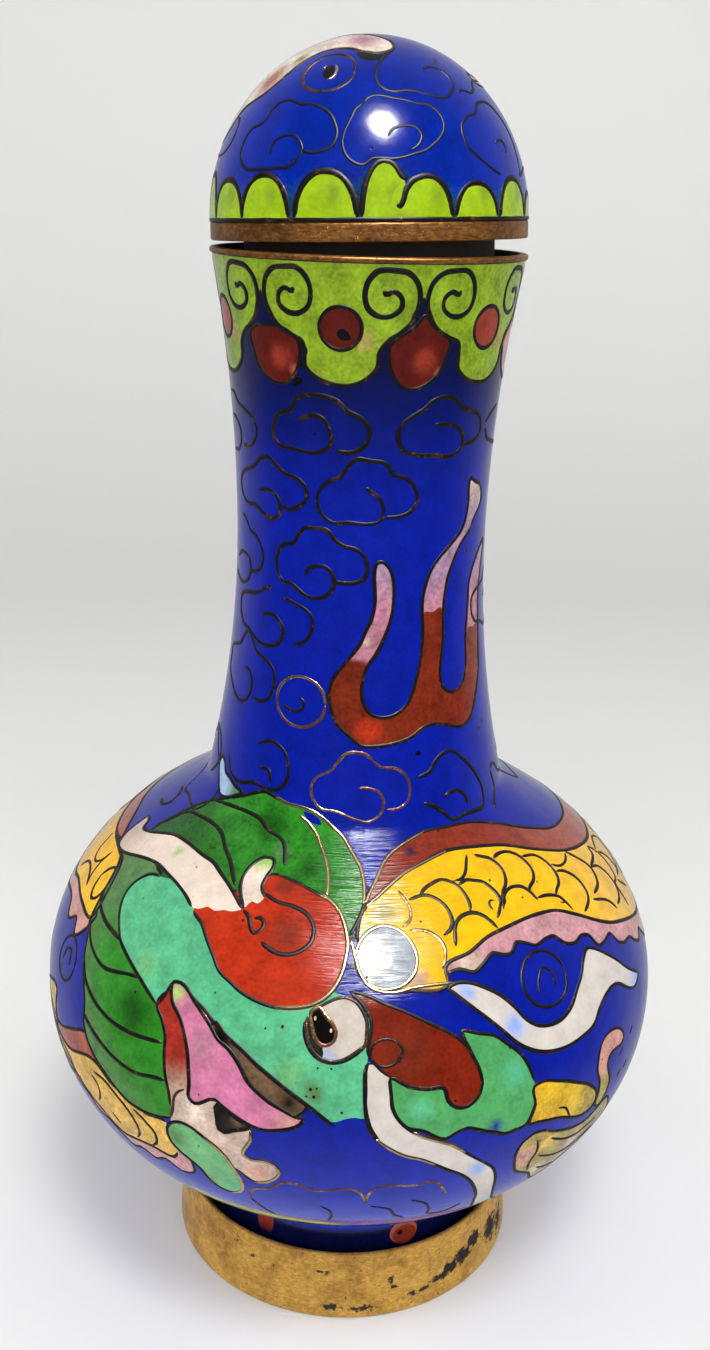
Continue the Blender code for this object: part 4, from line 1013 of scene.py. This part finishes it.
def wireMetal(name):
    # flat copper wire, gilt where it is still clean and black oxide where it is not; the bright levels, the
    # pale gold and the small bright flecks are also painted glints where wires catch the lamp
    material, tree, shader = newMaterial(name)
    place = addNode(tree, "ShaderNodeTexCoord").outputs["Object"]
    shine = addNode(tree, "ShaderNodeAttribute", attribute_name="shine").outputs["Fac"]
    patch = ranged(tree, noise(tree, place, 1.6, 3), 0.35, 0.65, -0.22, 0.22)
    fleckAndGlint = ranged(tree, noise(tree, place, 0.35, 2), 0.58, 0.7, 0.0, 0.36)
    shine = sums(tree, "ADD", sums(tree, "ADD", shine, patch), fleckAndGlint)
    dark = (0.004, 0.003, 0.003, 1)
    brown = (*linear("#6E4630"), 1)
    gildedAndGlint = (*linear("#F0D2A0"), 1)
    # the faintest wires lie under a film of glaze
    dark = mixed(tree, ranged(tree, shine, -0.5, -0.25), (*linear("#050A2A"), 1), dark)
    colour = mixed(tree, ranged(tree, shine, 0.22, 0.6), dark, brown)
    colour = mixed(tree, ranged(tree, shine, 0.6, 0.95), colour, gildedAndGlint)
    tree.links.new(colour, shader.inputs["Base Color"])
    tree.links.new(ranged(tree, shine, 0.25, 0.8, 0.1, 1.0), shader.inputs["Metallic"])
    tree.links.new(ranged(tree, shine, 0.2, 1.0, 0.42, 0.2), shader.inputs["Roughness"])
    shader.inputs["Specular IOR Level"].default_value = 0.3
    bump = addNode(tree, "ShaderNodeBump", {"Height": noise(tree, place, 0.25, 2), "Strength": 0.5,
                                            "Distance": 0.00003})
    tree.links.new(bump.outputs[0], shader.inputs["Normal"])
    return material


def wornMetal(name, base, light, tarnish, speck, spots, metallic):
    # turned and hand-rubbed metal: fine lines round the ring, brown tarnish, black specks in old scratches,
    # and near-black where the stainAndShade attribute asks: tarnish on the foot, painted shade on the lid's
    # collar and the inner part of the mouth ring
    material, tree, shader = newMaterial(name)
    place = addNode(tree, "ShaderNodeTexCoord").outputs["Object"]
    lines = addNode(tree, "ShaderNodeMapping", {"Vector": place, "Scale": (0.28, 0.28, 1.0)}).outputs[0]
    brushed = noise(tree, lines, 0.16, 3, 0.65)
    patches = sums(tree, "ADD", sums(tree, "MULTIPLY", noise(tree, place, 3.5, 4, 0.6), 0.6),
                   sums(tree, "MULTIPLY", noise(tree, place, 0.5, 3, 0.7), 0.4))
    colour = mixed(tree, ranged(tree, brushed, 0.3, 0.7), (*linear(base), 1), (*linear(light), 1))
    colour = mixed(tree, ranged(tree, patches, 0.44, 0.62, 0.0, 0.75), colour, (*linear(tarnish), 1))
    stainAndShade = addNode(tree, "ShaderNodeAttribute", attribute_name="stainAndShade").outputs["Fac"]
    broken = noise(tree, place, 0.7, 5, 0.75)
    stainAndShade = ranged(tree, sums(tree, "ADD", stainAndShade, sums(tree, "MULTIPLY", broken, 1.5)), 1.32, 1.44)
    specks = ranged(tree, noise(tree, place, speck, 3, 0.6), 0.70 - 0.06 * spots, 0.76 - 0.06 * spots)
    dirtAndShade = sums(tree, "MAXIMUM", stainAndShade, specks)
    colour = mixed(tree, dirtAndShade, colour, (0.018, 0.013, 0.010, 1))
    tree.links.new(colour, shader.inputs["Base Color"])
    tree.links.new(ranged(tree, dirtAndShade, 0.0, 1.0, metallic, 0.05), shader.inputs["Metallic"])
    rough = sums(tree, "ADD", ranged(tree, brushed, 0.3, 0.7, 0.34, 0.46), sums(tree, "MULTIPLY", dirtAndShade, 0.3))
    tree.links.new(rough, shader.inputs["Roughness"])
    height = sums(tree, "SUBTRACT", sums(tree, "MULTIPLY", brushed, 0.5), sums(tree, "MULTIPLY", dirtAndShade, 0.6))
    height = sums(tree, "ADD", height, noise(tree, place, 2.0, 2))
    bump = addNode(tree, "ShaderNodeBump", {"Height": height, "Strength": 0.5, "Distance": 0.00008})
    tree.links.new(bump.outputs[0], shader.inputs["Normal"])
    return material


vaseEnamel = firedEnamel("firedEnamel")
wireFinish = wireMetal("cloisonWire")
brassFinish = wornMetal("rubbedBrass", "#B8842C", "#E4B65A", "#865A20", 0.35, 0.9, 0.4)
copperFinish = wornMetal("wornCopper", "#6E421A", "#B87E40", "#4E3218", 0.28, 1.3, 0.8)


# Liner rings: from the mouth down the inside and over the floor, and from the foot in over the underside
def ringAt(radius, height, turns):
    return np.stack([radius * np.sin(turns), -radius * np.cos(turns), np.full(len(turns), height)], 1) * mm


columns = 200
columnStep = 360 / columns
rowsUp = 2 * round(mapTop / columnStep / 1.732)


def makeVase():
    grid = []
    for row in range(rowsUp + 1):
        v = mapTop * row / rowsUp
        if row % 2 == 0:
            grid += [(-180 + columnStep * k, v) for k in range(columns + 1)]
        else:
            grid += [(-180, v)] + [(-180 + columnStep * (k + 0.5), v) for k in range(columns)] + [(180, v)]
    turns = np.radians(-180 + columnStep * np.arange(columns))
    floor = baseLevel + vessel["floor"]
    down = [ringAt(float(radiusAt(z)), z, turns) for z in (neckTop,)]
    down += [ringAt(float(radiusAt(z, vessel["wall"])), z, turns) for z in (neckTop, 90, 80, 73, 66, 60, 56,
        53, 51.5, 50.5, 49, 47, 44, 40, 35, 30, 25, 20, 16, 13, 11, 9.6, 8, floor)]
    down += [ringAt(radius, floor, turns) for radius in (11, 7, 3)]
    under = [ringAt(float(radiusAt(baseLevel)), baseLevel, turns)]
    under += [ringAt(radius, baseLevel, turns) for radius in (14.4, 11, 7, 3)]
    liners = [(down, (0, 0, floor * mm)), (under, (0, 0, baseLevel * mm))]
    # the ground runs lighter under the belly, painted light bounced up from the floor, and deep blue on the
    # stem, painted shade above the foot ring
    base = {"glaze": "cobalt", "sand": 0.3, "washes": (
        ("run", (0, 30), (0, 14), "floorLitCobalt"), ("run", (0, 9.6), (0, 8.6), "deepCobaltAndShade"),
        ("run", (0, 76), (0, 92), "deepCobaltAndShade"))}
    return joinedSkin("vase_enamel", vase, base, grid, vesselSpace, liners, "#081038", vaseEnamel, 180)


def makeDome():
    grid = [(0.0, 0.0)]
    reach = 90
    rows = 54
    for row in range(1, rows + 1):
        radius = reach * row / rows
        count = 180 if row == rows else max(6, round(2 * math.pi * radius / 1.75))
        grid += [(radius * math.sin(2 * math.pi * (k + 0.5 * (row % 2)) / count),
                  -radius * math.cos(2 * math.pi * (k + 0.5 * (row % 2)) / count)) for k in range(count)]
    turns = np.radians(np.arange(180) * 2.0)
    inner = lid["height"] - lid["wall"]
    inRadius = lid["radius"] - lid["wall"]
    rings = [lidSpace(np.array([lidPlane(math.degrees(t), 0) for t in turns]))]
    for step in range(9):
        rise = math.pi / 2 * step / 9
        rings.append(leaned(ringAt(inRadius * math.cos(rise), lid["band"] + inner * math.sin(rise), turns)))
    end = leaned(np.array([[0, 0, (lid["band"] + inner) * mm]]))[0]
    base = {"glaze": "lidCobalt", "sand": 0.34, "washes": ()}
    return joinedSkin("lid_enamel", dome, base, grid, lidSpace, [(rings, end)], "#081038", vaseEnamel)


wireLook = {"width": 0.38, "proud": 0.03, "sunk": 0.07}      # mm


def makeWires(name, picture, toSpace):
    # each wire is a thin closed bar that follows the glaze, rounded on top and let into it below
    verts, faces, shines = [], [], []
    draw = random.Random(5)
    for entry in picture["wires"]:
        line = entry["line"]
        if len(line) < 3:
            line = smoothCurve(line, picture["step"] / 3)
        count = len(line)
        foot = toSpace(line)
        away = toSpace(line, 1.0) - foot
        along = np.gradient(foot, axis=0)
        closed = entry.get("closed", False)
        if closed:
            along[0] = along[-1] = foot[1] - foot[-2]
        along /= np.maximum(np.linalg.norm(along, axis=1, keepdims=True), 1e-9)
        away /= np.linalg.norm(away, axis=1, keepdims=True)
        side = np.cross(away, along)
        width = entry.get("width", wireLook["width"]) * mm * (0.9 + 0.2 * draw.random())
        wander = np.interp(np.arange(count), np.arange(0, count + 6, 5),
                           [0.85 + 0.3 * draw.random() for _ in np.arange(0, count + 6, 5)])
        if not closed:
            taper = np.minimum(np.arange(count), np.arange(count)[::-1]) / 2.0
            wander = wander * np.clip(0.35 + taper, 0, 1)
        half = (0.5 * width * wander)[:, None]
        proud = (wireLook["proud"] + entry.get("lift", 0.0)) * mm
        section = [foot + side * half - away * wireLook["sunk"] * mm,
            foot + side * half * 0.8 + away * proud * 0.8, foot + away * proud,
            foot - side * half * 0.8 + away * proud * 0.8,
            foot - side * half - away * wireLook["sunk"] * mm]
        first = len(verts)
        rings = count - 1 if closed else count
        for k in range(rings):
            verts += [tuple(points[k]) for points in section]
            shines += [entry["shine"]] * 5
        for k in range(rings if closed else rings - 1):
            here, there = first + 5 * k, first + 5 * ((k + 1) % rings)
            for j in range(5):
                n = (j + 1) % 5
                faces.append((here + j, here + n, there + n, there + j))
        if not closed:
            faces.append(tuple(first + j for j in range(4, -1, -1)))
            faces.append(tuple(first + 5 * (rings - 1) + j for j in range(5)))
    mesh = bpy.data.meshes.new(name)
    mesh.from_pydata(verts, [], faces)
    mesh.attributes.new("shine", "FLOAT", "POINT").data.foreach_set("value", shines)
    shape = bmesh.new()
    shape.from_mesh(mesh)
    bmesh.ops.recalc_face_normals(shape, faces=shape.faces)
    bmesh.ops.triangulate(shape, faces=[face for face in shape.faces if len(face.verts) > 4])
    shape.to_mesh(mesh)
    shape.free()
    mesh.shade_smooth()
    mesh.materials.append(wireFinish)
    piece = bpy.data.objects.new(name, mesh)
    bpy.context.scene.collection.objects.link(piece)
    print(name, len(picture["wires"]), "wires,", len(faces), "faces")
    return piece


hideCovered(vase)
hideCovered(dome)
vaseSkin = makeVase()
domeSkin = makeDome()
vaseWires = makeWires("vase_wires", vase, vesselSpace)
domeWires = makeWires("lid_wires", dome, lidSpace)


# Turned metal rings
def cornered(corners, sizes):
    # a closed outline with arcs of the given sizes at its corners
    points = []
    for k, (corner, size) in enumerate(zip(corners, sizes)):
        here = Vector(corner)
        if not size:
            points.append(tuple(here))
            continue
        before, after = Vector(corners[k - 1]) - here, Vector(corners[(k + 1) % len(corners)]) - here
        first, last = here + before.normalized() * size, here + after.normalized() * size
        for t in (0, 0.25, 0.5, 0.75, 1):
            points.append(tuple(first * (1 - t) ** 2 + here * 2 * t * (1 - t) + last * t ** 2))
    fine = []                   # no step longer than 0.4 mm, so that stains and painted shade have points to sit on
    for here, there in zip(points, points[1:] + points[:1]):
        count = max(1, math.ceil(math.dist(here, there) / 0.4))
        fine += [tuple(h + (t - h) * k / count for h, t in zip(here, there)) for k in range(count)]
    return fine


def turnedRing(name, outline, material, steps=192):
    bpy.ops.object.select_all(action="DESELECT")
    mesh = bpy.data.meshes.new(name)
    mesh.from_pydata([(r * mm, 0, z * mm) for r, z in outline], [(k, (k + 1) % len(outline))
                     for k in range(len(outline))], [])
    piece = bpy.data.objects.new(name, mesh)
    bpy.context.scene.collection.objects.link(piece)
    bpy.context.view_layer.objects.active = piece
    piece.select_set(True)
    bpy.ops.object.mode_set(mode="EDIT")
    bpy.ops.mesh.select_all(action="SELECT")
    bpy.ops.mesh.spin(steps=steps, angle=2 * math.pi, center=(0, 0, 0), axis=(0, 0, 1))
    bpy.ops.mesh.select_all(action="SELECT")
    bpy.ops.mesh.remove_doubles(threshold=2e-6)
    bpy.ops.mesh.normals_make_consistent(inside=False)
    bpy.ops.object.mode_set(mode="OBJECT")
    bpy.ops.object.shade_smooth_by_angle(angle=math.radians(40))
    mesh.materials.append(material)
    return piece


def stainedAndShaded(piece, spots, shadeWithin=0.0):
    # how tarnished each point is, with painted shade too: points nearer the axis than shadeWithin are painted
    # fully dark as shade; spots are turn, height, reach round in degrees and up in mm, strength
    values = []
    for vert in piece.data.vertices:
        turn = math.degrees(math.atan2(vert.co.x, -vert.co.y))
        level = 30.0 if math.hypot(vert.co.x, vert.co.y) < shadeWithin * mm else 0.0
        for a, z, reach, high, strength in spots:
            away = math.hypot((turn - a) / reach, (vert.co.z / mm - z) / high)
            level = max(level, strength * max(0.0, 1 - away))
        values.append(level)
    piece.data.attributes.new("stainAndShade", "FLOAT", "POINT").data.foreach_set("value", values)


footRing = {"innerTop": 15.58, "wall": 1.2, "flare": 0.4, "tread": 2.2, "height": 7.3, "seat": 4.5,
    "round": 0.5}
footOuter = footRing["innerTop"] + footRing["wall"]
footLow = footOuter + footRing["flare"]
footInner = footLow - footRing["tread"]
outline = cornered([(footInner, 0), (footLow, 0), (footOuter + 0.27, 2.4), (footOuter + 0.12, 4.9),
    (footOuter, footRing["height"]), (footOuter - 0.4, footRing["height"] - 0.05), (footRing["innerTop"],
    6.2), (footRing["innerTop"], footRing["seat"]), (footInner, footRing["seat"])], [0.15,
    footRing["round"], 0, 0, 0.2, 0.1, 0, 0, 0])
foot = turnedRing("foot_brass", outline, brassFinish)
stainedAndShaded(foot, ((34, 2.5, 8, 1.1, 1.0), (39, 3.0, 9, 1.7, 1.1), (45, 3.6, 8, 2.0, 1.12),
    (51, 4.4, 7, 2.2, 1.12), (29, 2.0, 5, 0.7, 0.95), (62, 3.6, 12, 4.4, 0.95), (-3, 1.3, 9, 0.9, 1.0),
    (7, 1.2, 12, 0.9, 0.98), (17, 4.0, 3.2, 1.4, 0.98), (18, 3.1, 3, 0.7, 0.95), (24, 2.1, 3, 0.6, 0.95),
    (-5, 5.1, 3, 0.7, 0.98), (-8, 5.3, 2, 0.5, 0.95), (-1, 2.4, 2.4, 0.5, 0.92), (70, 3, 12, 5, 0.85),
    (22, 1.5, 10, 0.5, 0.88), (-30, 5, 6, 1, 0.72), (-19, 3, 3, 0.5, 0.84), (-13, 1.8, 3, 0.4, 0.84),
    (-34, 3.4, 3, 0.4, 0.84), (150, 4, 16, 2, 0.85), (-120, 1.4, 22, 1.4, 0.85), (-160, 4.6, 10, 1, 0.8)))

mouthRing = {"width": 1.0, "bevel": 0.05, "shadedWithin": 0.72}       # mm
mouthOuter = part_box("mouth_ring")[1][0] / mm
mouthInner = mouthOuter - mouthRing["width"]
mouth = turnedRing("mouth_copper", cornered([(mouthInner, lipTop - lipEdge),
    (mouthOuter - mouthRing["bevel"], lipTop - lipEdge), (mouthOuter, lipTop - mouthRing["bevel"]),
    (mouthInner, lipTop)], [0.1, 0.12, 0.25, 0.3]), copperFinish)
# the inner part of the lip, more than shadedWithin in from the outer edge, is painted near-black: painted
# shade
stainedAndShaded(mouth, ((-60, lipTop - 0.4, 24, 0.5, 0.6), (44, lipTop - 0.4, 20, 0.5, 0.62), (-20, lipTop - 0.5,
    14, 0.3, 0.6), (0, lipTop - 0.5, 4000, 0.16, 0.9)), mouthOuter - mouthRing["shadedWithin"])

collarInner = lid["collarOuter"] - lid["collarWall"]
bandInner = lid["radius"] - lid["bandWidth"]
rim = turnedRing("lid_copper", cornered([(collarInner, -lid["collarDepth"]), (lid["collarOuter"],
    -lid["collarDepth"]), (lid["collarOuter"], 0), (lid["radius"], 0), (lid["radius"], lid["band"]),
    (bandInner, lid["band"]), (bandInner, lid["web"]), (collarInner, lid["web"])], [0.2, 0.2, 0.1, 0.2, 0.3,
    0, 0, 0]), copperFinish)
# the first spot paints the whole collar under the band near-black: painted shade
stainedAndShaded(rim, ((0, -2.4, 1e6, 2.34, 30), (0, 0, 90, 0.3, 0.5), (35, 0.7, 7, 0.6, 0.7),
    (-8, 0.6, 4, 0.5, 0.66), (0, 1.5, 1e6, 0.2, 0.8)))
rim.data.transform(lidTilt())
print("rings turned")

# What each piece stands for
for piece, node, slot in ((vaseSkin, "vase_body", "enamel"), (domeSkin, "lid_dome", "enamel"), (foot,
        "foot_ring", "brass"), (mouth, "mouth_ring", "copper"), (rim, "lid_rim", "copper")):
    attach(piece, "root")
    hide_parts(node)
for piece in (vaseWires, domeWires):
    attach(piece, "root")

# Floor that sweeps up behind, lamps and camera
stageLook = {"width": 1.6, "split": -0.045, "wall": 0.42, "front": -0.62, "height": 0.9, "sweep": 0.18,
    "colour": "#DCDCDA", "cloud": "#D4D4D2", "shadedWallColour": "#CACAC9"}


def makeStage():
    # a pale board that sweeps up behind, and its like in front; the glaze mirrors neither
    material, tree, shader = newMaterial("paleFloor")     # matt painted board
    place = addNode(tree, "ShaderNodeTexCoord").outputs["Object"]
    tone = ranged(tree, noise(tree, place, 30.0, 3), 0.3, 0.7, 0.0, 0.35)
    painted = mixed(tree, tone, (*linear(stageLook["colour"]), 1), (*linear(stageLook["cloud"]), 1))
    # the board turns darker going back: painted shade on the far wall
    depth = ranged(tree, addNode(tree, "ShaderNodeSeparateXYZ", {0: place}).outputs["Y"], 0.02, 0.3)
    tree.links.new(mixed(tree, depth, painted, (*linear(stageLook["shadedWallColour"]), 1)),
        shader.inputs["Base Color"])
    shader.inputs["Roughness"].default_value = 0.7
    half, high, sweep = stageLook["width"] / 2, stageLook["height"], stageLook["sweep"]
    for name, wall in (("floor", stageLook["wall"]), ("frontFloor", stageLook["front"])):
        side = math.copysign(1, wall)
        line = [(stageLook["split"], 0.0)] + [
            (wall - side * sweep * (1 - math.sin(t)), sweep * (1 - math.cos(t)))
            for t in [math.pi / 2 * k / 12 for k in range(13)]] + [(wall, high)]
        mesh = bpy.data.meshes.new(name)
        mesh.from_pydata([(x * half, y, z) for y, z in line for x in (-1, 1)], [],
                         [(2 * k, 2 * k + 1, 2 * k + 3, 2 * k + 2) for k in range(len(line) - 1)])
        mesh.shade_smooth()
        mesh.materials.append(material)
        floor = bpy.data.objects.new(name, mesh)
        bpy.context.scene.collection.objects.link(floor)
        floor.visible_glossy = False


makeStage()


def areaLamp(name, place, target, energy, size, height=None):
    # a round lamp, or a rectangular one where a height is given
    light = bpy.data.lights.new(name, "AREA")
    light.shape = "RECTANGLE" if height else "DISK"
    light.size = size
    if height:
        light.size_y = height
    light.energy = energy
    lamp = bpy.data.objects.new(light.name, light)
    bpy.context.scene.collection.objects.link(lamp)
    lamp.location = place
    lamp.rotation_euler = (Vector(target) - Vector(place)).to_track_quat("-Z", "Y").to_euler()
    return lamp


def polar(turn, rise, reach):
    # a place seen from the vase's middle, degrees from the front and above the floor
    a, e = math.radians(turn), math.radians(rise)
    return (reach * math.cos(e) * math.sin(a), -reach * math.cos(e) * math.cos(a), 0.05 + reach * math.sin(e))


lampLook = {"spotTurn": 13, "spotRise": 61, "spotReach": 0.6, "spotSize": 0.17, "spotEnergy": 1.7,
    "softPlace": (0.1, 0.35, 1.3), "softSize": 1.2, "softEnergy": 2.4, "frontPlace": (0, -0.5, 0.3),
    "frontSize": (0.7, 0.5), "frontEnergy": 2.5, "sidePlace": (0.62, -0.05, 0.2), "sideSize": (0.4, 0.6),
    "sideEnergy": 2.6, "glintEnergy": 9.5}
spotPlace = polar(lampLook["spotTurn"], lampLook["spotRise"], lampLook["spotReach"])
spotTarget = (0, 0, 0.06)
areaLamp("spot", spotPlace, spotTarget, lampLook["spotEnergy"], lampLook["spotSize"])
areaLamp("soft", lampLook["softPlace"], (0, 0, 0.04), lampLook["softEnergy"],
    lampLook["softSize"]).visible_glossy = False
# the front and side lamps only lift the shadows
areaLamp("front", lampLook["frontPlace"], (0, 0, 0.03), lampLook["frontEnergy"],
         *lampLook["frontSize"]).visible_glossy = False
for side in (-1, 1):
    across, depth, high = lampLook["sidePlace"]
    areaLamp("side", (side * across, depth, high), (0, 0, 0.0), lampLook["sideEnergy"],
        *lampLook["sideSize"]).visible_glossy = False
# the spot once more, for its shine only
areaLamp("glint", spotPlace, spotTarget, lampLook["glintEnergy"],
         lampLook["spotSize"]).visible_diffuse = False

bpy.context.scene.view_settings.view_transform = "Standard"
roomLook = {"colour": (0.98, 0.98, 1.0, 1), "front": -0.35, "back": 0.95, "frontLight": 0.05,
    "backLight": 0.5, "belowStart": -0.2, "belowEnd": -0.8, "belowLight": 0.5}
world = bpy.data.worlds.new("room")
world.use_nodes = True
bpy.context.scene.world = world
sky = world.node_tree
aim = addNode(sky, "ShaderNodeTexCoord").outputs["Generated"]
axes = addNode(sky, "ShaderNodeSeparateXYZ", {0: aim})
back = addNode(sky, "ShaderNodeMapRange", {"Value": axes.outputs["Y"], "From Min": roomLook["front"],
    "From Max": roomLook["back"], "To Min": roomLook["frontLight"], "To Max": roomLook["backLight"]},
    interpolation_type="SMOOTHSTEP").outputs["Result"]
below = ranged(sky, axes.outputs["Z"], roomLook["belowStart"], roomLook["belowEnd"], 0.0,
    roomLook["belowLight"])
back = sums(sky, "MAXIMUM", back, below)
sky.links.new(back, sky.nodes["Background"].inputs["Strength"])
sky.nodes["Background"].inputs["Color"].default_value = roomLook["colour"]

photoView = {"place": (0.0, -0.12536, 0.10331), "right": (0.99961, 0.01051, 0.02571),
    "up": (-0.02774, 0.32872, 0.94402), "forward": (-0.00147, 0.94437, -0.32889), "lens": 37.74,
    "sensorHeight": 36, "clipStart": 0.005}
camera = bpy.data.cameras.new("camera")
camera.sensor_fit = "VERTICAL"
camera.sensor_height = photoView["sensorHeight"]
camera.lens = photoView["lens"]
camera.clip_start = photoView["clipStart"]
eye = bpy.data.objects.new("camera", camera)
bpy.context.scene.collection.objects.link(eye)
axesOfView = Matrix((photoView["right"], photoView["up"],
    tuple(-c for c in photoView["forward"]))).transposed()
eye.matrix_world = Matrix.Translation(photoView["place"]) @ axesOfView.to_4x4()
bpy.context.scene.camera = eye
